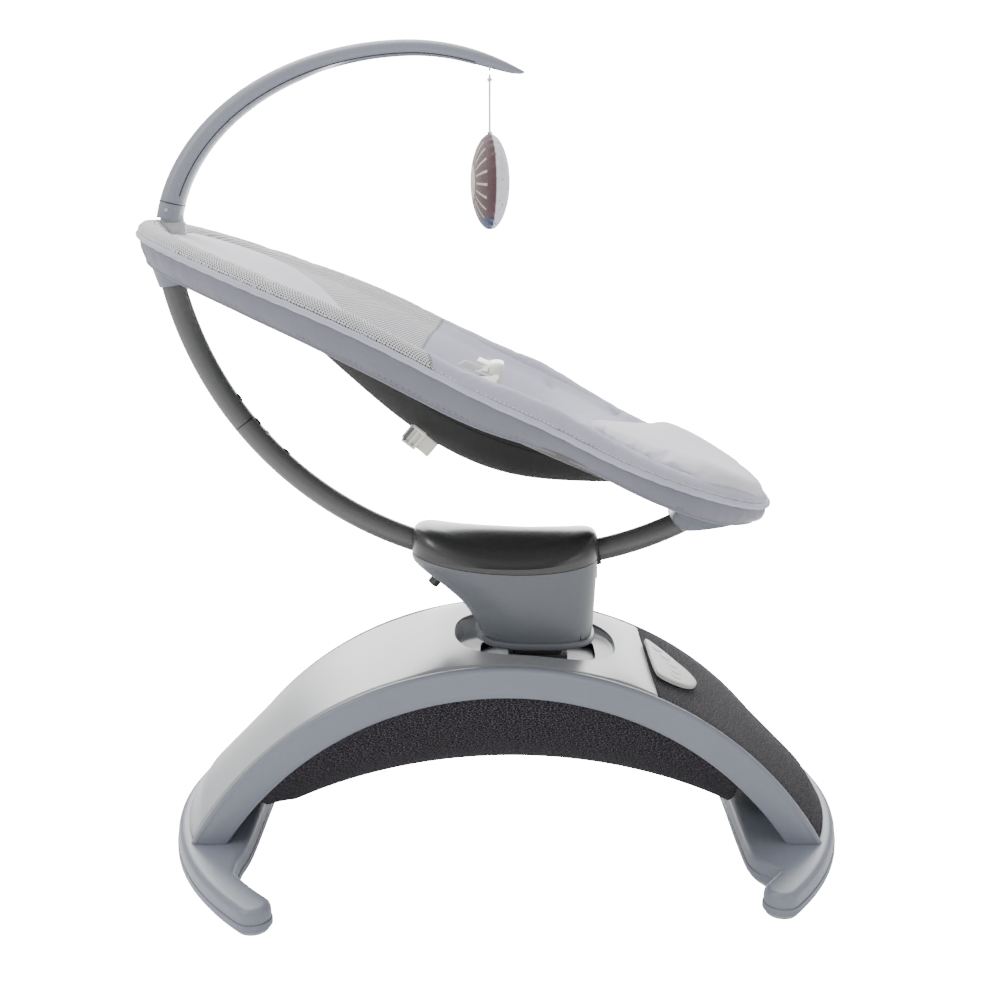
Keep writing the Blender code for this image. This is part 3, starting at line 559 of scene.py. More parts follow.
def footOutline(side, tipY, neckY, innerX, inset, radius=362 * mm, prong=38 * mm):
    outer = radius - inset
    half = prong / 2 - inset
    middle = radius - prong / 2
    tip = math.asin((tipY - prong / 2) / middle)
    neck = math.asin(neckY / (middle - prong / 2))
    centre = np.array((middle * math.cos(tip), middle * math.sin(tip)))
    upper = [outer * np.array((math.cos(a), math.sin(a))) for a in np.linspace(0, tip, 26)]
    upper += [centre + half * np.array((math.cos(a), math.sin(a))) for a in np.linspace(tip, tip + math.pi, 15)[1:]]
    inner = middle - half
    upper += [inner * np.array((math.cos(a), math.sin(a))) for a in np.linspace(tip, neck, 10)[1:-1]]
    corner = inner * np.array((math.cos(neck), math.sin(neck)))
    bend = [corner, (innerX + inset + 4 * mm, neckY - 26 * mm), (innerX + inset, neckY - 70 * mm), (innerX + inset, 0)]
    upper += [np.array(p) for p in smoothPath(bend, 18)]
    lower = [np.array((p[0], -p[1])) for p in upper[-2:0:-1]]
    return [(side * p[0] + shiftX, p[1]) for p in upper + lower]


feet = {
    "left": {"side": -1, "tipY": 262 * mm, "neckY": 180 * mm, "innerX": 266 * mm},
    "right": {"side": 1, "tipY": 232 * mm, "neckY": 176 * mm, "innerX": 247 * mm},
}


def makeFeet():
    for name, sizes in feet.items():
        low, high = lowHigh("foot_" + name)
        height = high[2] - low[2]
        levels = [(1.0, 0.0), (0.0, 0.05), (0.0, 0.28), (0.4, 0.32), (1.6, 0.335), (1.7, 0.37), (1.1, 0.385),
                  (1.0, 0.55), (1.3, 0.72), (2.3, 0.86), (4.2, 0.96), (6.8, 0.995), (10.0, 1.0)]
        rings = []
        for inset, share in levels:
            outline = footOutline(inset=inset * mm, **sizes)
            rings.append([(x, y, low[2] + share * height) for x, y in outline])
        foot = loft("foot" + name.title(), rings, "base", "foot_" + name)
        place(sharpen(foot, 40), lightShell)
        low, high = lowHigh("sole_" + name)
        rings = [[(x, y, z) for x, y in footOutline(inset=inset * mm, **sizes)]
                 for inset, z in ((4.0, low[2]), (3.2, low[2] + 0.8 * mm), (2.2, high[2] - 0.4 * mm), (2.4, high[2]))]
        sole = loft("sole" + name.title(), rings, "base", "sole_" + name)
        place(sharpen(sole, 40), soleRubber)


def archPoint(angle, y, radius, crown=arch["crown"]):
    share = y / coverHalf
    swell = crown * (1 - share * share) * min(1.0, max(0.0, (abs(angle) - 0.55) / 0.45)) ** 2
    return (shiftX + (radius + swell) * math.sin(angle), y, archCentreZ + (radius + swell) * math.cos(angle))


def gathered(shape):
    # more grid lines close to the two long edges
    return lambda u, v: shape(u, 0.5 - 0.5 * math.cos(math.pi * (0.12 + 0.76 * v)) / math.cos(math.pi * 0.12))


def archEnd(y, height):
    swell = arch["crown"] * (1 - (y / coverHalf) ** 2)
    return math.acos((height - archCentreZ) / (archRadius + swell))


def coverRise(x, y):
    # the cover swells toward both ends of its opening
    swell = 6 * hump(x - shiftX, -68, 26) + 3 * hump(x - shiftX, 122, 20)
    return swell * mm * max(0.0, 1 - (abs(y) / coverHalf) ** 6)


def makeCover():
    low, high = lowHigh("top_cover")
    endAngle = math.asin((high[0] - shiftX) / archRadius)

    def shape(u, v):
        y = (2 * v - 1) * coverHalf
        start = -archEnd(y, low[2] + 2 * mm)
        angle = start + u * (endAngle - start)
        edge = step01(0.968, 1.0, abs(2 * v - 1))
        point = archPoint(angle, y, archRadius - 1.6 * mm * edge - 0.8 * mm * step01(0.995, 1.0, u))
        return (point[0], point[1], point[2] + coverRise(point[0], y))

    cover = sheetGrid("topCover", gathered(shape), 140, 56, "base", "top_cover", size=(0.6, 0.23))
    applied(thicken(cover, 3.0 * mm, -1))
    carve(cover, slab("wellCutter", wellOutline(0, 0), 150 * mm, 260 * mm, "base"))
    turn = math.asin(141 / 377)
    mark = archPoint(turn, 26 * mm, archRadius, 0.0)
    crescent = []
    for a in np.linspace(math.radians(-62), math.radians(62), 20):
        along = 13 * mm * math.cos(a) - 8 * mm
        crescent.append((mark[0] + along * math.cos(turn), mark[1] + 30 * mm * math.sin(a),
                         mark[2] - along * math.sin(turn) - 0.35 * mm))
    place(pipe("coverMark", crescent, 0.7 * mm, "base", sides=10), litCoverShell)
    # the cover takes the lighter copy of the shell plastic: painted top light
    place(sharpen(cover, 40), litCoverShell)

    def legShape(u, v):
        y = (2 * v - 1) * coverHalf
        stop = archEnd(y, low[2] + 2 * mm)
        angle = endAngle + 0.0012 + u * (stop - endAngle - 0.0012)
        sag = 1.0 * mm * step01(0.86, 1.0, abs(2 * v - 1)) + 1.2 * mm * step01(0.06, 0.0, u)
        return archPoint(angle, y, archRadius - 0.4 * mm - sag)

    leg = sheetGrid("legCloth", legShape, 70, 40, "base", "leg_fabric", size=(0.26, 0.23))
    applied(thicken(leg, 2.2 * mm, -1))
    place(leg, legKnit)


def superEllipse(middleX, halfX, halfY, power, count):
    # rounded corners in X and Y; a lower power is squarer
    return [(middleX + halfX * signed(math.cos(a), power), halfY * signed(math.sin(a), power)) for a in circle(count)]


def wellOutline(insetX, insetY):
    return superEllipse(well["middleX"], well["halfLength"] - insetX, well["halfWidth"] - insetY, well["round"], 120)


def coverZ(x, y):
    return coverRise(x, y) + archCentreZ + math.sqrt(archRadius ** 2 - (x - shiftX) ** 2)


def makeWell():
    # a shallow dish under the cover's opening, with a slot for the pedestal's column
    rings = []
    levels = ((-3.0, -3.0, 3.4), (0.0, 0.0, 3.4), (0.3, 0.8, 3.9), (0.9, 2.6, 5.4), (1.4, 6.0, 7.4), (2.0, 12.0, 10.4),
              (2.0, 20.0, 14.0), (2.2, 25.0, 17.0), (2.6, 29.0, 20.0), (5.0, 33.0, 22.0))
    floorZ = well["floorZ"]
    for insetX, insetY, drop in levels:
        ring = []
        for x, y in wellOutline(insetX * mm, insetY * mm):
            top = coverZ(x, y) - drop * mm
            ring.append((x, y, top if drop < 4 else max(top, floorZ + 0.03 * mm * (33 - insetY))))
        rings.append(ring)
    columnLow, columnHigh = lowHigh("lift_column")
    slotLow, slotHigh = columnLow[0] - 21 * mm, columnHigh[0] + 19 * mm
    slot = superEllipse((slotLow + slotHigh) / 2, (slotHigh - slotLow) / 2, columnHigh[1] + 2.5 * mm, 0.4, 120)
    rings += [[(x, y, floorZ - lip) for x, y in slot] for lip in (0.0, 2.2 * mm)]
    dish = loft("wellDish", rings, "base", capped=False)
    applied(thicken(dish, 1.2 * mm, -1))
    # the dish takes the cover's lighter copy of the shell plastic: painted light in the recess
    place(sharpen(dish, 50), litCoverShell)
    post = []
    for z, grow in ((213, 0.0), (215, 0.0), (238, 1.5), (252, 3.0)):
        outline = superEllipse(-12 * mm + shiftX, (20.5 + grow) * mm, (26 + grow) * mm, 1, 48)
        post.append([(x, y, z * mm) for x, y in outline])
    sleeve = loft("columnSleeve", post, "pedestal", capped=False)
    applied(thicken(sleeve, 1.5 * mm, -1))
    place(sharpen(sleeve, 50), litCoverShell)


def makeRims():
    bottom = archRadius - arch["rimDepth"]
    crown = ((0.0, 1.3), (0.05, 0.6), (0.14, 0.15), (0.3, 0.0), (0.55, 0.2), (0.75, 1.0), (0.9, 2.4), (0.97, 4.0))
    for name, side in (("near", -1), ("far", 1)):
        outerY = side * arch["halfWidth"]
        innerY = side * (arch["halfWidth"] - arch["rimThickness"])
        profile = [(archRadius - depth * mm, innerY + share * (outerY - innerY)) for share, depth in crown]
        for k in range(10):
            t = k / 9
            bulge = 0.5 * mm * math.sin(math.pi * t)
            depth = 5.2 * mm + t * (arch["rimDepth"] - 8.4 * mm)
            profile.append((archRadius - depth, outerY - side * (0.5 * mm - bulge)))
        for share, lift in ((0.86, 1.4), (0.6, 0.35), (0.0, 0.0)):
            profile.append((bottom + lift * mm, innerY + share * (outerY - innerY)))
        rings = []
        for share in np.linspace(-1, 1, 141):
            ring = []
            for radius, y in profile:
                angle = share * math.acos((arch["landing"] - archCentreZ) / radius)
                ring.append(archPoint(angle, y, radius, 0.0))
            rings.append(ring)
        rim = loft("rim" + name.title(), rings, "base", "rim_" + name)
        place(sharpen(rim, 38), lightShell)


def makeBelly():
    low, high = lowHigh("belly_fabric")
    bottom = archRadius - arch["rimDepth"] - 0.5 * mm
    sag = {"top": 78 * mm, "radius": 608 * mm, "x": 6 * mm}

    def shape(u, v):
        x = low[0] + 1 * mm + u * (high[0] - low[0] - 2 * mm)
        y = (2 * v - 1) * (coverHalf - 0.5 * mm)
        local = x - shiftX
        edge = archCentreZ + math.sqrt(bottom ** 2 - local ** 2) + 3.6 * mm
        middle = max(30 * mm, sag["top"] - sag["radius"] + math.sqrt(sag["radius"] ** 2 - (local - sag["x"]) ** 2))
        return (x, y, middle + (edge - middle) * (2 * v - 1) ** 2)

    belly = sheetGrid("bellyCloth", shape, 100, 48, "base", "belly_fabric", size=(0.52, 0.34))
    applied(thicken(belly, 2.0 * mm, 1))
    place(belly, charcoalKnit)


def makePanel():
    axis = -np.array(joints["speed_press"]["axis"])
    along = np.array((axis[2], 0.0, -axis[0]))
    low, high = lowHigh("speed_button")
    centre = (low + high) / 2 - 0.9 * mm * axis
    across = np.array((0.0, 1.0, 0.0))
    leaf = [(-26, 58), (-9, 47), (9, 27), (23, 9), (29, -12), (23, -34), (8, -51), (-10, -58), (-21, -57), (-25, -48),
            (-26.5, -20), (-27, 10), (-27, 40)]
    outline = smoothPath(leaf, 90, closed=True)
    rings = [[centre + (along * ((a + 4) * shrink - 4) + across * b * shrink + axis * rise) * mm for a, b in outline]
             for shrink, rise in ((1.0, -1.9), (1.0, 1.1), (0.992, 1.6), (0.975, 1.9), (0.9, 2.0))]
    panel = loft("controlPanel", rings, "base", "control_panel")
    for name in ("power", "motion", "speed", "sound", "volume"):
        low, high = lowHigh(name + "_button")
        middle = (low + high) / 2
        carve(panel, rod("hole", middle - axis * 8 * mm, middle + axis * 8 * mm, 6.3 * mm, "base", sides=40))
        profile = ((5.9, -1.6), (5.9, 1.1), (5.6, 1.45), (4.8, 1.6), (2.4, 1.45))
        key = turned(name + "Key", middle, axis, profile, name + "_key", name + "_button")
        place(sharpen(key, 40), panelPlastic)
    place(sharpen(panel, 30), panelPlastic)


def saddle(x, y, z):
    # how far the cap's top falls below its ridge, in millimetres
    rise = step01(298, 341, z)
    middle = max(0.0, 1 - ((x - 8) / 92) ** 2)
    return rise * (6 * min(1, max(0, (x + 90) / 110)) ** 0.8 + (y / 48) ** 2 * (5 + 15 * middle))


def makePedestal():
    levels = np.array((
        (221, -26, 93, 51), (228, -31, 94, 52), (240, -37, 95, 53), (258, -49, 96, 54), (277, -70, 97, 55),
        (291, -88, 98, 56), (304, -101, 99, 57), (316, -102, 100, 57), (328, -102, 99, 56), (335, -100, 97, 53),
        (339, -96, 94, 49), (341, -89, 88, 43),
    ), float)
    rings = []
    for z, left, right, half in smoothPath(levels, 60):
        outline = superEllipse((left + right) / 2, (right - left) / 2, half, 0.75, 112)
        rings.append([(x * mm + shiftX, y * mm * 0.998, (z - saddle(x, y, z)) * mm) for x, y in outline])
    edge = [((x - shiftX) / mm, y / mm) for x, y, z in rings[-1]]
    for shrink in (0.85, 0.68, 0.5, 0.32, 0.15, 0.04):
        inner = [(x * shrink, y * shrink) for x, y in edge]
        rings.append([(x * mm + shiftX, y * mm, (341 - saddle(x, y, 341)) * mm) for x, y in inner])
    seamX, seamZ, seamRadius = 18 * mm + shiftX, 777 * mm, 480 * mm
    tunnel = [spinePoint(a) for a in np.linspace(238, 296, 40)]

    housing = loft("pedestalHousing", rings, "pedestal", "pedestal_housing")
    carve(housing, rod("seam", (seamX, -0.1, seamZ), (seamX, 0.1, seamZ), seamRadius, "pedestal", sides=360))
    carve(housing, pipe("tunnel", tunnel, 15.2 * mm, "pedestal", sides=40))
    lean = np.array(joints["recline_press"]["axis"])
    knobLow, knobHigh = lowHigh("recline_knob")
    knobMiddle = (knobLow + knobHigh) / 2
    knobMiddle[1] = 0.0
    carve(housing, rod("knobBore", knobMiddle - lean * 25 * mm, knobMiddle + lean * 12 * mm, 6.8 * mm, "pedestal"))
    roomLow = (-12 * mm + shiftX, -40 * mm, 200 * mm)
    carve(housing, block("room", roomLow, (80 * mm + shiftX, 40 * mm, 262 * mm), "pedestal"))
    place(sharpen(housing, 34), housingShell)

    cap = loft("pedestalCap", rings, "pedestal", "pedestal_cap")
    lid = rod("lid", (seamX, -0.1, seamZ), (seamX, 0.1, seamZ), seamRadius - 0.7 * mm, "pedestal", sides=360)
    carve(cap, lid, "INTERSECT")
    carve(cap, pipe("tunnel", tunnel, 15.2 * mm, "pedestal", sides=40))
    # the cap's near-black colour is painted shade from the seat above
    place(sharpen(cap, 34), capShadeKnobPlastic)

    ringLow, ringHigh = lowHigh("pedestal_ring")
    middle, half = (ringLow[0] + ringHigh[0]) / 2, (ringHigh[0] - ringLow[0]) / 2
    rings = []
    for inset, share in ((1.4, 0.0), (0.4, 0.1), (0.0, 0.3), (0.0, 0.7), (0.5, 0.92), (2.2, 1.0), (14, 1.0), (14, 0.0)):
        outline = superEllipse(middle, half - inset * mm, ringHigh[1] - inset * mm, 0.75, 96)
        rings.append([(x, y, ringLow[2] + share * (ringHigh[2] - ringLow[2])) for x, y in outline])
    ring = loft("pedestalRing", rings, "pedestal", "pedestal_ring", closed=True)
    place(sharpen(ring, 40), housingShell)

    profile = ((4.2, -8.0), (5.7, -7.5), (6.2, -6.4), (6.2, 4.0), (6.2, 7.9))
    knob = turned("reclineKnob", knobMiddle, lean, profile, "recline_release", "recline_knob")
    place(sharpen(knob, 40), capShadeKnobPlastic)

    # a thin black block on the housing stands in for the slot's opening: painted shade
    slotLow, slotHigh = (97.2 * mm + shiftX, -5 * mm, 280 * mm), (98.6 * mm + shiftX, 5 * mm, 293 * mm)
    slot = block("pedestalSlot", slotLow, slotHigh, "pedestal")
    applied(roundEdges(slot, 0.5 * mm))
    place(slot, blackPlastic)


def spineRadius():
    return joints["recline"]["pos_m"][2] - lowHigh("spine_tube_lower")[0][2] - 12.5 * mm


def spinePoint(angle, radius=None):
    axis = joints["recline"]["pos_m"]
    size = spineRadius() if radius is None else radius
    turn = math.radians(angle)
    return np.array((axis[0] + size * math.cos(turn), 0, axis[2] + size * math.sin(turn)))


def makeSpine():
    inward = np.array(joints["tube_snap_press"]["axis"])
    for name, start, stop in (("Upper", 191.0, 217.45), ("Lower", 217.6, 297.0)):
        path = [spinePoint(a) for a in np.linspace(start, stop, int((stop - start) / 0.9))]
        tube = pipe("spine" + name, path, 12.4 * mm, "seat", "spine_tube_" + name.lower(), sides=36)
        if name == "Lower":
            mouth = spinePoint(221, spineRadius() - 12.5 * mm)
            carve(tube, rod("snapHole", mouth - inward * 6 * mm, mouth + inward * 7 * mm, 4.4 * mm, "seat"))
        place(sharpen(tube, 50), powderCoat)
    cuff = pipe("spineCuff", [spinePoint(a) for a in (217.42, 217.63)], 12.55 * mm, "seat", sides=36)
    place(sharpen(cuff, 40), blackPlastic)
    for i, angle in enumerate((213.6, 218.6, 225.5)):
        path = [spinePoint(angle + share, spineRadius() - 12.0 * mm) for share in (-0.75, -0.35, 0.35, 0.75)]
        mark = pipe("spineMark%d" % i, path, lambda t: (0.9 + 1.1 * math.sin(math.pi * t)) * mm, "seat", sides=12)
        place(mark, blackPlastic)
    low, high = lowHigh("snap_button")
    middle = (low + high) / 2
    profile = ((1.2, -2.5), (2.8, -2.2), (3.8, -1.2), (3.9, 2.4))
    button = turned("snapButton", middle, inward, profile, "tube_snap", "snap_button", sides=32)
    place(sharpen(button, 45), steelMetal)


seatLow, seatHigh = lowHigh("rim_pad")
ringLow, ringHigh = lowHigh("ring_tube")
seat = {
    "centreX": (seatLow[0] + seatHigh[0]) / 2,
    "centreZ": (ringLow[2] + ringHigh[2]) / 2 + 13.6 * mm,
    "halfLength": (seatHigh[0] - seatLow[0]) / 2,
    "halfWidth": (seatHigh[1] - seatLow[1]) / 2,
    "slope": 0.478,
    "curve": 0.46,
    "power": 2.3,
    "depth": 76 * mm,
    "bowlPower": 2.8,
    "meshSeam": {"middle": -112 * mm + shiftX, "spread": 38 * mm, "half": 180 * mm, "power": 1.5},
}


# the last colour, near-black, is painted shade inside the mesh holes
seatCloth = splitClothMaterial("seatCloth", (0.74, 0.74, 0.77), shades["seat"], seat["meshSeam"],
                               (0.025, 0.025, 0.028))


def rimLift(x):
    return 8 * mm * hump(x, -120, 125) + 4 * mm * hump(x, 45, 50)


def rimHeight(x):
    u = x - seat["centreX"]
    return seat["centreZ"] - seat["slope"] * u + seat["curve"] * u ** 3 + rimLift(x)


def linerHeight(x, y):
    # the bowl, rising again toward the foot pad
    shallow = 1 - 0.8 * step01(25 * mm, 100 * mm, x - shiftX)
    return rimHeight(x) - (seat["depth"] + rimLift(x)) * bowlShare(x, y) * shallow


def rimPoint(angle, inset=0.0, rise=0.0):
    c, s = math.cos(angle), math.sin(angle)
    power = 2 / seat["power"]
    reach = seat["halfLength"] - inset - 4 * mm * max(0.0, c) ** 8
    x = seat["centreX"] + reach * signed(c, power)
    return np.array((x, (seat["halfWidth"] - inset) * signed(s, power), rimHeight(x) + rise))


def bowlShare(x, y):
    share = ((x - seat["centreX"]) / seat["halfLength"]) ** 2 + (y / seat["halfWidth"]) ** 2
    return max(0.0, 1 - share) ** seat["bowlPower"]


def rimAngles(count):
    return [2 * math.pi * (i + 0.5) / count for i in range(count)]


def seatUv(piece):
    # X along the slope and Y across it, stretched a little on the steep walls, in metres
    layer = piece.data.uv_layers.get("UVMap") or piece.data.uv_layers.new(name="UVMap")
    for loop in piece.data.loops:
        point = piece.data.vertices[loop.vertex_index].co
        layer.data[loop.index].uv = (point.x * 1.1, point.y * (1 + 6.0 * point.y ** 2))
    return piece


def rollUv(piece):
    # along the rim and round its section, in metres
    spots = np.linspace(0, 2 * math.pi, 721)
    points = np.array([rimPoint(a) for a in spots])
    travelled = np.concatenate(([0.0], np.cumsum(np.linalg.norm(np.diff(points, axis=0), axis=1))))
    power = seat["power"]
    layer = piece.data.uv_layers.get("UVMap") or piece.data.uv_layers.new(name="UVMap")
    values = []
    for vertex in piece.data.vertices:
        cx, cy = (vertex.co.x - seat["centreX"]) / seat["halfLength"], vertex.co.y / seat["halfWidth"]
        a = math.atan2(signed(cy, power / 2), signed(cx, power / 2)) % (2 * math.pi)
        reach = (abs(cx) ** power + abs(cy) ** power) ** (1 / power)
        inset = (1 - reach) * math.hypot(vertex.co.x - seat["centreX"], vertex.co.y)
        rise = vertex.co.z - rimHeight(vertex.co.x)
        values.append((a, inset + (rise if inset < 17 * mm else 28 * mm - rise)))
    total = travelled[-1]
    for face in piece.data.polygons:
        turns = [values[v][0] for v in face.vertices]
        wrap = max(turns) - min(turns) > math.pi
        for loop, vertex in zip(face.loop_indices, face.vertices):
            a, around = values[vertex]
            along = float(np.interp(a, spots, travelled)) + (total if wrap and a < math.pi else 0.0)
            layer.data[loop].uv = (along, around)
    return piece


def inflate(piece, voxel, pressure, cap):
    # cloth under a little air, then each point held to within the cap of where it began
    remesh = piece.modifiers.new("remesh", "REMESH")
    remesh.mode = "VOXEL"
    remesh.voxel_size = voxel
    applied(piece)
    start = np.empty(len(piece.data.vertices) * 3)
    piece.data.vertices.foreach_get("co", start)
    cloth = piece.modifiers.new("cloth", "CLOTH")
    for title, value in {"quality": 4, "mass": 0.3, "tension_stiffness": 12, "compression_stiffness": 12,
                         "shear_stiffness": 4, "bending_stiffness": 0.6, "use_pressure": True,
                         "uniform_pressure_force": pressure, "shrink_min": -0.04}.items():
        setattr(cloth.settings, title, value)
    cloth.settings.effector_weights.gravity = 0
    cloth.collision_settings.use_collision = False
    for step in range(1, 17):
        bpy.context.scene.frame_set(step)
    applied(piece)
    ended = np.empty(len(piece.data.vertices) * 3)
    piece.data.vertices.foreach_get("co", ended)
    moved = (ended - start).reshape(-1, 3)
    size = np.linalg.norm(moved, axis=1, keepdims=True)
    moved *= np.minimum(1.0, cap / np.maximum(size, 1e-9))
    piece.data.vertices.foreach_set("co", (start.reshape(-1, 3) + moved).ravel())
    piece.data.update()
    bpy.context.scene.frame_set(1)
    return piece


def makeRimRoll():
    rings = []
    for a in rimAngles(200):
        foot, nose = step01(0.45, 0.8, math.cos(a)), step01(0.86, 0.99, math.cos(a))
        width = 34 * mm
        height = (14.5 - 2 * foot - 6.5 * nose + 6 * hump(rimPoint(a)[0], 55, 70)) * mm
        ring = []
        for k in range(18):
            b = 2 * math.pi * k / 18
            across = 0.5 - 0.47 * math.cos(b)
            up = max(0.0, math.sin(b)) ** 0.8 * height + min(0.0, math.sin(b)) * 1.2 * mm
            gather = 0.4 * mm * math.sin(a * 160) * step01(0.5, 0.0, across)
            wave = 0.5 * mm * ripple(a, 0.0, 1.0)
            lift = 0.4 * mm + up + (gather + wave) * max(0, math.sin(b))
            ring.append(rimPoint(a, 1.0 * mm + across * (width - 2 * mm), lift))
        rings.append(ring)
    roll = loft("rimRoll", rings, "seat", "rim_pad", closed=True)
    inflate(roll, 4.2 * mm, 2.0, 3.0 * mm)
    subdivide(roll)
    rollUv(roll)
    roll.data.shade_smooth()
    place(roll, seatCloth)


def makePiping():
    path = [rimPoint(a, 0.6 * mm, -0.6 * mm + 0.25 * mm * math.sin(a * 90)) for a in rimAngles(420)]
    piping = pipe("rimPiping", path, 3.1 * mm, "seat", sides=12, closed=True)
    seatUv(piping)
    place(piping, smoothKnit)


def stitchTree():
    tree = bpy.data.node_groups.new("stitchRow", "GeometryNodeTree")
    source, sink = addSockets(tree, [
        ("Geometry", "Geometry", None), ("Spacing", "Float", 0.0045), ("Length", "Float", 0.0026),
        ("Thickness", "Float", 0.00035), ("Thread", "Material", None)], [("Geometry", "Geometry")])
    nodes, links = tree.nodes, tree.links
    curve = nodes.new("GeometryNodeMeshToCurve")
    points = nodes.new("GeometryNodeCurveToPoints")
    points.mode = "LENGTH"
    stitch = nodes.new("GeometryNodeMeshCylinder")
    stitch.inputs["Vertices"].default_value = 6
    scatter = nodes.new("GeometryNodeInstanceOnPoints")
    real = nodes.new("GeometryNodeRealizeInstances")
    paint = nodes.new("GeometryNodeSetMaterial")
    for node, title, target, socket in (
            (source, "Geometry", curve, "Mesh"), (curve, "Curve", points, "Curve"),
            (source, "Spacing", points, "Length"), (source, "Length", stitch, "Depth"),
            (source, "Thickness", stitch, "Radius"), (points, "Points", scatter, "Points"),
            (stitch, "Mesh", scatter, "Instance"), (points, "Rotation", scatter, "Rotation"),
            (scatter, "Instances", real, "Geometry"), (real, "Geometry", paint, "Geometry"),
            (source, "Thread", paint, "Material"), (paint, "Geometry", sink, "Geometry")):
        links.new(node.outputs[title], target.inputs[socket])
    return tree


def makeStitches(tree, name, path, material, slotName, **sizes):
    bm = bmesh.new()
    verts = [bm.verts.new(point) for point in path]
    for a, b in zip(verts, verts[1:]):
        bm.edges.new((a, b))
    row = newPiece(name, bm, "seat")
    step = row.modifiers.new("stitches", "NODES")
    step.node_group = tree
    sockets = {item.name: item.identifier for item in tree.interface.items_tree if item.in_out == "INPUT"}
    step[sockets["Thread"]] = material
    for title, value in sizes.items():
        step[sockets[title]] = value
    applied(row)
    return place(row, material)


def makeSeatStitches():
    tree = stitchTree()
    rim = [rimPoint(a, 0.3 * mm, 4.4 * mm) for a in rimAngles(900)]
    makeStitches(tree, "rimStitches", rim, stringCloth, "seat_fabric")
    hem = []
    for a in rimAngles(900):
        inset, rise = skirtHem(a)
        hem.append(rimPoint(a, inset - 1.4 * mm, rise + 3.5 * mm))
    makeStitches(tree, "hemStitches", hem, threadGrey, "skirt_fabric", Spacing=0.006)


def makeTag():
    nose = rimPoint(0.0, -0.5 * mm, -1.0 * mm)
    start = rimPoint(0.06, 0.5 * mm, -0.5 * mm)

    def shape(u, v):
        wide = 1 - 0.85 * u ** 1.5
        y = start[1] - 12 * mm + (v - 0.5) * 15 * mm * wide
        return (nose[0] - 5 * mm + 9.5 * mm * u, y, nose[2] - 3 * mm - 6 * mm * u)
    tag = sheetGrid("edgeTag", shape, 12, 6, "seat", size=(0.012, 0.015))
    applied(thicken(tag, 1.8 * mm, 0))
    place(sharpen(tag, 50), smoothKnit)


def seatHalf(x, insetX, insetY, most):
    # half the width at x, inside the rim
    share = min(most, abs(x - seat["centreX"]) / (seat["halfLength"] - insetX))
    return (seat["halfWidth"] - insetY) * (1 - share ** seat["power"]) ** (1 / seat["power"])


def makeLiners():
    lowX, highX = lowHigh("liner_head")[0][0] - 6 * mm, lowHigh("liner_foot")[1][0] - 14 * mm

    def shape(u, v):
        x = lowX + u * (highX - lowX)
        y = (2 * v - 1) * seatHalf(x, 24 * mm, 21 * mm, 0.992)
        crease = 0.7 * mm * ripple(x, y, 3.0)
        for pinchX in (52, 128):
            away = math.hypot((x - shiftX) / mm - pinchX, (abs(y) / mm - 148) * 0.5)
            crease -= 5.5 * mm * math.exp(-(away / 5.5) ** 2)
        over = 7 * mm * step01(0.86, 1.0, abs(2 * v - 1))
        return (x, y, linerHeight(x, y) + 6.5 * mm + over + crease)

    back = sheetGrid("backLiner", shape, 140, 72, "seat", "liner_head", "liner_body")
    applied(thicken(back, 5 * mm, -1))
    seatUv(back)
    place(back, seatCloth)


def makeFootPad():
    # a pillow from a curved seam down to the nose, with its edge on the rim
    columns, rows = 48, 60
    bm = bmesh.new()
    sides = {1: [], -1: []}
    for i in range(columns + 1):
        u = i / columns
        for face in (1, -1):
            line = []
            for j in range(rows + 1):
                v = 2 * j / rows - 1
                a = math.pi / 2 * v
                nose = step01(0.8, 0.98, math.cos(a * 0.49))
                edge = rimPoint(a * 0.49, (11 - 7 * nose) * mm)
                start = np.array((min(edge[0] - 3 * mm, seamAcross(edge[1] * 0.97)), edge[1] * 0.97, 0.0))
                x, y = start[:2] + (edge[:2] - start[:2]) * u
                along = math.sin(math.pi * u) if u < 0.5 else (1 - (2 * u - 1) ** 4.2) ** 0.5
                round01 = along * (1 - abs(v) ** 5) ** 0.5
                round01 += 0.035 * math.sin(a * 46) * step01(0.72, 0.9, u) * step01(1.0, 0.93, u)
                seamLift = 0.5 + 19 * (abs(y) / (150 * mm)) ** 1.6
                top = rimHeight(x) + (seamLift * (1 - u) + (9 - 6 * nose) * u) * mm
                tuft = 4 * mm * math.exp(-((u - 0.02) / 0.10) ** 2) * math.exp(-((abs(v) - 0.62) / 0.05) ** 2)
                bottom = min(top - 3 * mm, linerHeight(x, y) + 2 * mm)
                line.append((x, y, top + 17 * mm * round01 - tuft if face > 0 else bottom))
            sides[face].append([bm.verts.new(point) for point in line])
    for i in range(columns):
        for j in range(rows):
            for face in (1, -1):
                g = sides[face]
                quad = (g[i][j], g[i + 1][j], g[i + 1][j + 1], g[i][j + 1])
                bm.faces.new(quad if face > 0 else quad[::-1])
    border = [(i, 0) for i in range(columns)] + [(columns, j) for j in range(rows)]
    border += [(i, rows) for i in range(columns, 0, -1)] + [(0, j) for j in range(rows, 0, -1)]
    top, bottom = sides[1], sides[-1]
    for (a, b), (c, d) in zip(border, border[1:] + border[:1]):
        bm.faces.new((top[a][b], bottom[a][b], bottom[c][d], top[c][d]))
    bmesh.ops.remove_doubles(bm, verts=bm.verts, dist=0.05 * mm)
    pad = newPiece("footPad", bm, "seat", "liner_foot")
    inflate(pad, 4.5 * mm, 3.0, 5.0 * mm)
    subdivide(pad)
    seatUv(pad)
    place(pad, paleKnit)


def seamAcross(y):
    # the foot pad's top edge, further down the seat at the sides
    return shiftX + 86 * mm + 112 * mm * (abs(y) / (150 * mm)) ** 1.25


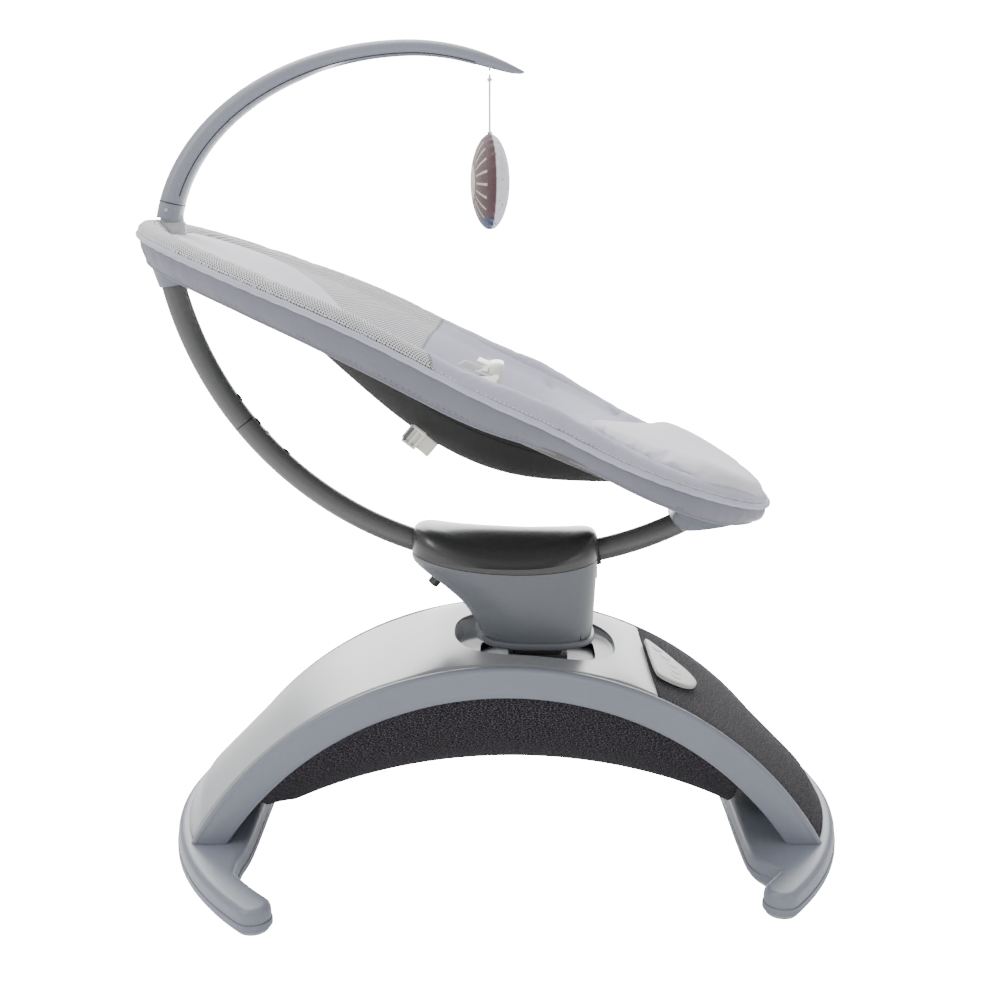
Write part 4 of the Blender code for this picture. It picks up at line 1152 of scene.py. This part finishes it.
def makeHeadInsert():
    # a smooth pale pad between the two mesh sides
    def shape(u, v):
        x = seat["centreX"] - seat["halfLength"] + 34 * mm + u * 192 * mm
        wide = (28 + 84 * math.sin(math.pi * (0.10 + 0.86 * u)) ** 0.8) * mm
        y = (2 * v - 1) * wide
        edge = (math.sin(math.pi * u) * (1 - (2 * v - 1) ** 2)) ** 0.4
        return (x, y, linerHeight(x, y) + 8 * mm + 6 * mm * edge)
    insert = sheetGrid("headInsert", shape, 60, 44, "seat")
    applied(thicken(insert, 2.5 * mm, -1))
    seatUv(insert)
    place(insert, paleKnit)


def skirtHem(a):
    c, s = math.cos(a), math.sin(a)
    nose = step01(0.72, 0.97, c)
    depth = 25 + 8 * abs(s) * math.exp(-((c - 0.05) / 0.55) ** 2) - 2 * nose
    sway = 0.5 * math.sin(a * 9 + 0.6) + 0.3 * math.sin(a * 23)
    depth -= 11 * hump(rimPoint(a)[0], 70, 80)
    return (7.0 + 7 * nose + sway) * mm, -(depth + 0.5 * sway) * mm


def makeSkirt():
    rings = []
    count = 420
    for a in rimAngles(count):
        hemInset, hemRise = skirtHem(a)
        crease = 0.35 * mm * math.sin(a * 47) + 0.25 * mm * math.sin(a * 83 + 1)
        ring = []
        for share in (0.0, 0.12, 0.3, 0.5, 0.7, 0.86, 1.0):
            inset = 2.0 * mm + (hemInset - 2.0 * mm) * share ** 1.6 - 1.2 * mm * math.sin(math.pi * share)
            ring.append(rimPoint(a, inset + crease * share * (1 - share) * 4, -3 * mm + (hemRise + 3 * mm) * share))
        for share in (1.0, 0.7, 0.4, 0.05):
            inset = 3.8 * mm + (hemInset - 2.0 * mm) * share ** 1.6
            ring.append(rimPoint(a, inset, -3 * mm + (hemRise + 3 * mm) * share))
        rings.append(ring)
    skirt = loft("seatSkirt", rings, "seat", "skirt", closed=True)
    seatUv(skirt)
    place(sharpen(skirt, 60), skirtCloth)
    hem = []
    for a in rimAngles(count):
        inset, rise = skirtHem(a)
        hem.append(rimPoint(a, inset + 0.6 * mm, rise))
    edge = pipe("skirtHem", hem, 1.5 * mm, "seat", sides=10, closed=True)
    seatUv(edge)
    place(edge, skirtCloth)


def makeSling():
    low, high = lowHigh("sling")

    def shape(u, v):
        x = low[0] - 4 * mm + u * (high[0] - low[0] + 8 * mm)
        y = (2 * v - 1) * seatHalf(x, 24 * mm, 17 * mm, 0.985)
        return (x, y, rimHeight(x) - (91 * mm + rimLift(x)) * bowlShare(x, y) - 3 * mm)

    sling = sheetGrid("blackSling", shape, 110, 60, "seat", "sling")
    applied(thicken(sling, 2.2 * mm, -1))
    seatUv(sling)
    place(sling, slingCloth)
    for i, v in enumerate((0.24, 0.5, 0.76)):
        path = [np.array(shape(u, v)) - np.array((0, 0, 2.4 * mm)) for u in np.linspace(0.03, 0.97, 90)]
        seam = pipe("slingSeam%d" % i, path, 1.1 * mm, "seat", sides=8)
        seatUv(seam)
        place(seam, slingCloth)


def makeBrackets():
    low, high = lowHigh("head_bracket")
    levels = ((0.0, 13.6, 14.2), (0.06, 14.4, 15.0), (0.3, 15.2, 17.0), (0.6, 16.2, 20.5), (0.85, 17.2, 23.4),
              (1.0, 17.4, 24.0))
    rings = []
    for share, along, half in levels:
        z = low[2] + share * (high[2] - low[2])
        centre = spinePoint(180 + math.degrees(math.asin((joints["recline"]["pos_m"][2] - z) / spineRadius())))
        ring = []
        for t in circle(48):
            slant = 2.2 * mm * math.cos(t) * (1 - share)
            x = max(low[0], min(high[0], centre[0] + along * mm * signed(math.cos(t), 0.85)))
            ring.append((x, half * mm * signed(math.sin(t), 0.85), z + slant))
        rings.append(ring)
    head = loft("headBracket", rings, "seat", "head_bracket")
    socket = pipe("socket", [spinePoint(a) for a in np.linspace(190.8, 204, 16)], 12.9 * mm, "seat", sides=36)
    carve(head, socket)
    place(sharpen(head, 36), lightShell)
    at, out = spinePoint(193.6, spineRadius() - 11.5 * mm), spinePoint(193.6, spineRadius() - 15.5 * mm)
    screw = rod("bracketScrew", at, out, 2.6 * mm, "seat", sides=20)
    place(sharpen(screw, 40), steelMetal)

    low, high = lowHigh("foot_bracket")
    outline = [(176, 350), (182, 341), (190, 336.5), (202, 336.5), (216, 338), (234, 341), (248, 345), (252, 349),
               (250, 354), (240, 361), (226, 370), (214, 374), (198, 373), (184, 362)]
    points = smoothPath([(x * mm + shiftX, z * mm) for x, z in outline], 60, closed=True)
    middleX, middleZ = np.mean(points, axis=0)
    rings = [[(middleX + (x - middleX) * shrink, share * high[1], middleZ + (z - middleZ) * shrink) for x, z in points]
             for share, shrink in ((-1.0, 0.9), (-0.97, 0.96), (-0.85, 1.0), (0.85, 1.0), (0.97, 0.96), (1.0, 0.9))]
    foot = loft("footBracket", rings, "seat", "foot_bracket")
    socket = pipe("socket", [spinePoint(a) for a in np.linspace(284, 297.2, 16)], 12.9 * mm, "seat", sides=36)
    carve(foot, socket)
    place(sharpen(foot, 36), lightShell)


def makeStrap(name, shape, grid, thickness, size, *nodes):
    strap = sheetGrid(name, shape, *grid, "seat", *nodes, size=size)
    applied(thicken(strap, thickness, 0))
    place(sharpen(strap, 60), webbing)


def makeHarness():
    for name, side in (("near", -1), ("far", 1)):
        low, high = lowHigh("waist_strap_" + name)
        middleX = (low[0] + high[0]) / 2

        def waist(u, v):
            x = middleX + (v - 0.5) * 21 * mm + 4 * mm * math.sin(u * 3.0)
            z = 501.5 * mm + 7 * mm * math.sin(math.pi * u * 0.8) - 2.4 * mm * u + 0.5 * mm * math.sin(9 * u)
            return (x, side * (24.4 + 79.6 * u) * mm, z)

        size = (0.08, 0.021)
        makeStrap("waistStrap" + name.title(), waist, (40, 8), 1.6 * mm, size, "waist_strap_" + name)
    low, high = lowHigh("crotch_strap")

    def crotch(u, v):
        z = low[2] + 1 * mm + u * (high[2] - low[2] - 2 * mm)
        return ((low[0] + high[0]) / 2 + 1.2 * mm * math.sin(u * 5), (2 * v - 1) * 16.4 * mm, z)

    makeStrap("crotchStrap", crotch, (24, 8), 2.0 * mm, (0.04, 0.034), "crotch_strap")

    low, high = lowHigh("harness_buckle")
    middleZ, halfZ = (low[2] + high[2]) / 2, (high[2] - low[2]) / 2
    outline = [(high[1] * signed(math.cos(t), 0.45), halfZ * signed(math.sin(t), 0.5)) for t in circle(60)]
    rings = [[(low[0] + share * (high[0] - low[0]), y * shrink, middleZ + z * shrink) for y, z in outline]
             for share, shrink in ((0.0, 0.86), (0.08, 0.94), (0.3, 1.0), (0.7, 1.0), (0.92, 0.94), (1.0, 0.86))]
    buckle = loft("harnessBuckle", rings, "seat", "harness_buckle")
    keyLow, keyHigh = lowHigh("buckle_button")
    window = 0.35 * mm
    carve(buckle, block("window", (low[0] - 5 * mm, keyLow[1] - window, keyLow[2] - window),
                        (keyHigh[0] + 3 * mm, keyHigh[1] + window, keyHigh[2] + window), "seat"))
    place(sharpen(buckle, 35), bucklePlastic)
    key = block("buckleKey", keyLow, keyHigh, "buckle_release", "buckle_button")
    applied(roundEdges(key, 1.2 * mm, 4))
    place(sharpen(key, 40), panelPlastic)
    spot = np.array((low[0] - 2 * mm, -52 * mm, 506.5 * mm))
    makeLadderLock("waistLockNear", spot, (0.15, -1, 0.12), (1, 0.1, -0.42), 25 * mm, 19 * mm)
    makeLadderLock("waistLockFar", spot * np.array((1, -1, 1)), (0.15, 1, 0.12), (1, -0.1, -0.42), 25 * mm, 19 * mm)
    spot = np.array((low[0] - 19 * mm, -30 * mm, 514 * mm))
    makeLadderLock("shoulderLock", spot, (0.5, -0.8, 0.3), (0.8, 0.5, -0.4), 22 * mm, 17 * mm)

    def shoulder(u, v):
        x = low[0] - 42 * mm + 48 * mm * u
        lift = (9 + 16 * math.sin(math.pi * min(1, u * 0.9))) * mm
        z = rimHeight(x) - seat["depth"] * bowlShare(x, -24 * mm) + lift
        return (x, -24 * mm - 12 * mm * u + (v - 0.5) * 19 * mm, z)

    makeStrap("shoulderStrap", shoulder, (30, 6), 1.6 * mm, (0.07, 0.019))
    makeAdjuster()


def makeAdjuster():
    low, high = lowHigh("sling_adjuster")
    middleY = (low[1] + high[1]) / 2
    corners = {"top": (low[0] + 5 * mm, high[2] + 11 * mm), "bottom": (low[0] + 31 * mm, low[2] - 5 * mm)}
    along = np.array((corners["bottom"][0] - corners["top"][0], 0, corners["bottom"][1] - corners["top"][1]))
    length = np.linalg.norm(along)
    along /= length
    across = np.array((0.62, -0.35, 0.70))
    across -= along * along.dot(across)
    across /= np.linalg.norm(across)
    start = np.array((corners["top"][0], middleY - 6 * mm, corners["top"][1]))

    def sway(u):
        return start + along * length * u + np.array((0, 1, 0)) * 2.5 * mm * math.sin(3.2 * u)

    def tail(u, v):
        return sway(u) + across * (v - 0.5) * 19 * mm

    makeStrap("adjusterWebbing", tail, (30, 8), 1.4 * mm, (0.045, 0.023))
    facing = np.cross(along, across)
    facing *= -1 if facing[1] > 0 else 1
    bars = (("Upper", 0.1, 2.0, innerPlastic, ["sling_adjuster"]), ("Middle", 0.3, 1.4, bucklePlastic, []),
            ("Lower", 0.5, 2.0, bucklePlastic, []))
    for name, u, lift, material, nodes in bars:
        path = [sway(u) + across * side * 10.5 * mm + facing * lift * mm for side in (-1, 0, 1)]
        cross = pipe("adjusterBar" + name, path, 1.7 * mm, "seat", *nodes, sides=12)
        place(sharpen(cross, 50), material)
    for name, side in (("Near", -1), ("Far", 1)):
        path = [sway(u) + across * side * 10.5 * mm + facing * 2 * mm for u in (0.06, 0.3, 0.54)]
        rail = pipe("adjusterRail" + name, path, 1.8 * mm, "seat", sides=12)
        place(sharpen(rail, 50), bucklePlastic)


def makeLadderLock(name, centre, along, across, width, length):
    # a frame with two slots for a strap
    along, across = np.array(along, float), np.array(across, float)
    along /= np.linalg.norm(along)
    across -= along * along.dot(across)
    across /= np.linalg.norm(across)
    facing = np.cross(along, across)
    bm = bmesh.new()
    corners = [(-1, -1), (1, -1), (1, 1), (-1, 1)]
    plates = [[bm.verts.new(centre + along * a * length / 2 + across * b * width / 2 + facing * rise * mm)
               for a, b in corners] for rise in (-1.3, 1.3)]
    for plate in plates:
        bm.faces.new(plate)
    for k in range(4):
        j = (k + 1) % 4
        bm.faces.new((plates[0][k], plates[0][j], plates[1][j], plates[1][k]))
    lock = newPiece(name, bm, "seat")
    applied(roundEdges(lock, 1.1 * mm, 3))
    place(sharpen(lock, 40), bucklePlastic)
    # the two slots are black bars on the face: painted shade for their openings
    for i, share in enumerate((-0.24, 0.24)):
        spot = centre + along * share * length + facing * 1.3 * mm
        ends = [spot + across * side * width * 0.33 for side in (-1, 0, 1)]
        slit = pipe(name + "Slot%d" % i, ends, 0.85 * mm, "seat", sides=10)
        place(slit, blackPlastic)


bar = {"halfLength": 266 * mm, "height": 206 * mm, "start": 171.0, "sweep": 106.5, "baseDepth": 25.0, "tipDepth": 14.0}


def makeToyBar():
    low, high = lowHigh("toy_bar")
    centreX = -96 * mm + shiftX
    centreZ = high[2] - bar["height"]

    def crossing(t):
        a = math.radians(bar["start"] - bar["sweep"] * t)
        taper = math.sqrt(max(0.012, 1 - max(0.0, (t - 0.86) / 0.14) ** 2.4))
        depth = (bar["baseDepth"] - (bar["baseDepth"] - bar["tipDepth"]) * t) * mm * taper
        half = (20.6 - 9 * t) * mm * taper
        return a, depth, half, 11 * mm * max(0.0, (t - 0.75) / 0.25) ** 2

    def spot(a, across, drop, droop=0.0):
        return (centreX + (bar["halfLength"] - drop) * math.cos(a), across,
                centreZ + (bar["height"] - drop) * math.sin(a) - droop)

    rings = []
    for t in np.linspace(0, 1, 150):
        a, depth, half, droop = crossing(t)
        groove = step01(0.5, 0.75, t) * step01(0.995, 0.97, t) * 0.5
        ring = []
        for b in circle(40):
            across = half * signed(math.cos(b), 0.9)
            drop = depth / 2 * (1 - signed(math.sin(b), 0.85))
            if math.sin(b) < -0.2:
                drop -= groove * depth * max(0.0, 1 - (across / (half * 0.72)) ** 4)
            ring.append(spot(a, across, drop, droop))
        rings.append(ring)
    shaft = loft("toyBar", rings, "bar", "toy_bar")
    place(sharpen(shaft, 50), barPlastic)
    a, depth, half, droop = crossing(0.022)
    studs = [spot(a, -half + rise * mm, depth / 2, -1 * mm) for rise in (-0.2, 3)]
    stud = rod("toyBarStud", studs[0], studs[1], 1.7 * mm, "bar", sides=20)
    place(sharpen(stud, 40), barInner)
    # a thin black line along each lip of the underside channel: painted shade where the bar turns into the channel
    lip = []
    for t in np.linspace(0.07, 0.9, 110):
        a, depth, half, droop = crossing(t)
        lip.append(spot(a, -half * 0.8, depth * 0.85, droop))
    for name, side in (("Near", -1), ("Far", 1)):
        path = [(x, side * -y, z) for x, y, z in lip]
        lipShadeLine = pipe("toyBarSeam" + name, path, 0.55 * mm, "bar", sides=8)
        place(lipShadeLine, blackPlastic)

    a, depth, half, droop = crossing(0.045)
    seamRing = [spot(a, half * signed(math.cos(b), 0.9) * 1.004, depth / 2 * (1 - signed(math.sin(b), 0.85) * 1.004))
                for b in circle(72)]
    seam = pipe("toyBarJoint", seamRing, 0.55 * mm, "bar", sides=8, closed=True)
    place(seam, blackPlastic)

    low, high = lowHigh("bar_socket")
    middle = (low + high) / 2
    rings = [[(middle[0] + radius * mm * math.cos(t), radius * mm * math.sin(t), low[2] + share * (high[2] - low[2]))
              for t in circle(48)]
             for radius, share in ((13.6, 0.0), (13.9, 0.1), (13.9, 0.8), (13.4, 0.95), (12.0, 1.0), (11.6, 1.42))]
    socket = loft("barSocket", rings, "seat", "bar_socket")
    place(sharpen(socket, 40), barInner)

    hook = joints["toy_swing"]["pos_m"]
    loop = [(hook[0], 3.4 * mm * math.cos(t), hook[2] + 0.5 * mm + 4.4 * mm * math.sin(t)) for t in circle(32)]
    ring = pipe("toyHook", loop, 0.9 * mm, "bar", sides=10, closed=True)
    place(ring, barInner)


def makeToy():
    stringLow, stringHigh = lowHigh("toy_string")
    hook = joints["toy_swing"]["pos_m"]
    path = [(hook[0], 0, z) for z in np.linspace(stringHigh[2], stringLow[2], 30)]
    string = pipe("toyString", path, 1.1 * mm, "toy", "toy_string", sides=12)
    place(string, stringCloth)
    for i, z in enumerate((stringHigh[2] - 5 * mm, stringLow[2] + 3 * mm)):
        coil = [(hook[0] + 1.5 * mm * math.cos(t), 1.5 * mm * math.sin(t), z + 0.5 * mm * math.sin(2 * t))
                for t in circle(24)]
        knot = pipe("stringKnot%d" % i, coil, 1.2 * mm, "toy", sides=10, closed=True)
        place(knot, stringCloth)

    low, high = lowHigh("plush_toy")
    middle = (low + high) / 2
    radius = (high[2] - low[2]) / 2
    reach, half = radius + 2.2 * mm, (high[0] - low[0]) / 2 - 0.8 * mm
    rings = []
    for a in np.linspace(-1, 1, 27):
        r = max(1 * mm, reach * math.sqrt(max(0.0, 1 - abs(a) ** 1.7)))
        rings.append([(a * half, r * math.cos(b), r * math.sin(b)) for b in circle(80)])
    toy = loft("plushToy", rings, "toy", "plush_toy")
    inflate(toy, 3.0 * mm, 2.5, 2.0 * mm)
    turn = math.radians(9)
    for vertex in toy.data.vertices:
        offset = np.array(vertex.co)
        angle = math.atan2(offset[1], offset[2])
        reach = math.hypot(offset[1], offset[2]) / radius
        pinch = math.exp(-(offset[0] / (4 * mm)) ** 2) * step01(0.6, 1.0, reach)
        shrink = 1 - 0.03 * pinch * (1 + 0.6 * math.sin(angle * 26))
        y, z = offset[1] * shrink, offset[2] * shrink
        vertex.co = (middle[0] + offset[0] * math.cos(turn) - y * math.sin(turn),
                     middle[1] + offset[0] * math.sin(turn) + y * math.cos(turn), middle[2] + z)
    subdivide(toy)
    place(toy, toyPlush(middle, turn))


def toyPlush(middle, turn):
    # brown side with cream rays, pale side with small flecks
    material, tree, shader, coordinates = newMaterial("toyPlush", 0.95, Sheen_Weight=0.4, Sheen_Roughness=0.5)
    mapping = tree.nodes.new("ShaderNodeMapping")
    mapping.vector_type = "TEXTURE"
    mapping.inputs["Location"].default_value = [float(c) for c in middle]
    mapping.inputs["Rotation"].default_value = (0, 0, turn)
    tree.links.new(coordinates["Object"], mapping.inputs["Vector"])
    x, y, z = splitVector(tree, mapping.outputs[0])
    angle = mathNode(tree, "ARCTAN2", z, y)
    squares = [mathNode(tree, "MULTIPLY", part, part) for part in (y, z)]
    reach = mathNode(tree, "SQRT", mathNode(tree, "ADD", *squares))
    rays = mathNode(tree, "SINE", mathNode(tree, "MULTIPLY", angle, 20.0))
    ray = rangeNode(tree, rays, 0.72, 0.86, 0.0, 1.0)
    inside = mathNode(tree, "MULTIPLY", rangeNode(tree, reach, 0.021, 0.022, 0.0, 1.0),
                      rangeNode(tree, reach, 0.0415, 0.0425, 1.0, 0.0))
    centre = rangeNode(tree, reach, 0.017, 0.018, 1.0, 0.0)
    cream = mathNode(tree, "MAXIMUM", mathNode(tree, "MULTIPLY", ray, inside), centre)
    brown = mixColour(tree, cream, (0.095, 0.05, 0.058), (0.6, 0.5, 0.36))
    fleck = rangeNode(tree, noiseNode(tree, mapping.outputs[0], 170.0, 1.0), 0.69, 0.72, 0.0, 1.0)
    pale = mixColour(tree, fleck, (0.74, 0.74, 0.79), (0.25, 0.25, 0.33))
    side = rangeNode(tree, x, -0.0006, 0.0006, 0.0, 1.0)
    lower = rangeNode(tree, z, -0.036, -0.035, 1.0, 0.0)
    foot = mathNode(tree, "MULTIPLY", lower, mathNode(tree, "SUBTRACT", 1.0, side))
    both = mixColour(tree, foot, mixColour(tree, side, brown, pale), (0.03, 0.05, 0.11))
    tree.links.new(both, shader.inputs["Base Color"])
    nap = noiseNode(tree, coordinates["Object"], 1400.0, 3.0)
    addBump(tree, shader, nap, 0.6, 0.0008)
    return material


def dressNodes():
    finishes = {
        "arch_tray": innerPlastic, "rail_frame": innerPlastic,
        "guide_rod_near": steelMetal, "guide_rod_far": steelMetal,
        "sway_motor": steelMetal, "sway_pinion": gearPlastic, "speaker": blackPlastic, "power_inlet": blackPlastic,
        "carriage": innerPlastic, "sway_rack": gearPlastic, "lift_guide": innerPlastic, "slot_shield": litCoverShell,
        "lift_motor": steelMetal, "lift_pinion": gearPlastic, "lift_column": innerPlastic, "lift_rack": gearPlastic,
        "tube_bush_left": blackPlastic, "tube_bush_right": blackPlastic, "ring_tube": powderCoat,
        "well_floor": innerPlastic,
    }
    for name, material in finishes.items():
        node = frame["nodes"][name]
        for i in range(max(1, len(node.material_slots))):
            if node.material_slots:
                node.material_slots[i].material = material
            else:
                node.data.materials.append(material)


def makeStage():
    bm = bmesh.new()
    bmesh.ops.create_grid(bm, x_segments=1, y_segments=1, size=12)
    mesh = bpy.data.meshes.new("floor")
    bm.to_mesh(mesh)
    bm.free()
    floor = bpy.data.objects.new("floor", mesh)
    floor.location.z = -0.5 * mm
    bpy.context.scene.collection.objects.link(floor)
    material = bpy.data.materials.new("paleFloor")
    material.use_nodes = True
    shader = material.node_tree.nodes["Principled BSDF"]
    shader.inputs["Base Color"].default_value = (0.94, 0.94, 0.94, 1)
    shader.inputs["Roughness"].default_value = 0.9
    shader.inputs["Emission Color"].default_value = (1, 1, 1, 1)
    seen = material.node_tree.nodes.new("ShaderNodeLightPath")
    glow = mathNode(material.node_tree, "MULTIPLY_ADD", seen.outputs["Is Camera Ray"], 20.0)
    glow.node.inputs[2].default_value = 0.2
    material.node_tree.links.new(glow, shader.inputs["Emission Strength"])
    mesh.materials.append(material)

    world = bpy.data.worlds.new("studio")
    world.use_nodes = True
    world.node_tree.nodes["Background"].inputs["Color"].default_value = (1, 1, 1, 1)
    world.node_tree.nodes["Background"].inputs["Strength"].default_value = 0.75
    bright = world.node_tree.nodes.new("ShaderNodeBackground")
    bright.inputs["Strength"].default_value = 22.0
    rays = world.node_tree.nodes.new("ShaderNodeLightPath")
    choose = world.node_tree.nodes.new("ShaderNodeMixShader")
    world.node_tree.links.new(rays.outputs["Is Camera Ray"], choose.inputs[0])
    world.node_tree.links.new(world.node_tree.nodes["Background"].outputs[0], choose.inputs[1])
    world.node_tree.links.new(bright.outputs[0], choose.inputs[2])
    world.node_tree.links.new(choose.outputs[0], world.node_tree.nodes["World Output"].inputs[0])
    bpy.context.scene.world = world
    for name, location, turn, size, power in (
            ("top", (-0.5, 0.5, 2.5), (-10, -12, 0), 1.7, 62),
            ("backdrop", (0.0, 2.6, 1.35), (-76, 0, 0), 2.8, 170),
            ("key", (-1.9, -1.3, 1.9), (52, 0, -56), 1.0, 24),
            ("fill", (1.9, -1.7, 1.3), (62, 0, 48), 1.4, 8)):
        light = bpy.data.lights.new(name, "AREA")
        light.size = size
        light.energy = power
        lamp = bpy.data.objects.new(name, light)
        lamp.location = location
        lamp.rotation_euler = [math.radians(a) for a in turn]
        lamp.visible_camera = False
        bpy.context.scene.collection.objects.link(lamp)

    view = {"distance": 1.4, "height": 0.6706, "down": 0.214335, "lens": 47.925, "shift": -0.0065}
    camera = bpy.data.objects.new("camera", bpy.data.cameras.new("camera"))
    camera.location = (shiftX, -view["distance"], view["height"])
    camera.rotation_euler = (math.pi / 2 - view["down"], 0, 0)
    camera.data.lens = view["lens"]
    camera.data.sensor_width = 36
    camera.data.shift_x = view["shift"]
    bpy.context.scene.collection.objects.link(camera)
    bpy.context.scene.camera = camera


makeStage()
makeFeet()
makeCover()
makeWell()
makeRims()
makeBelly()
makePanel()
print("base made")
makePedestal()
print("pedestal made")
makeSpine()
makeBrackets()
makeRimRoll()
makePiping()
makeTag()
makeLiners()
makeFootPad()
makeHeadInsert()
makeSkirt()
makeSling()
makeSeatStitches()
makeHarness()
print("seat made")
makeToyBar()
makeToy()
print("toy made")
dressNodes()
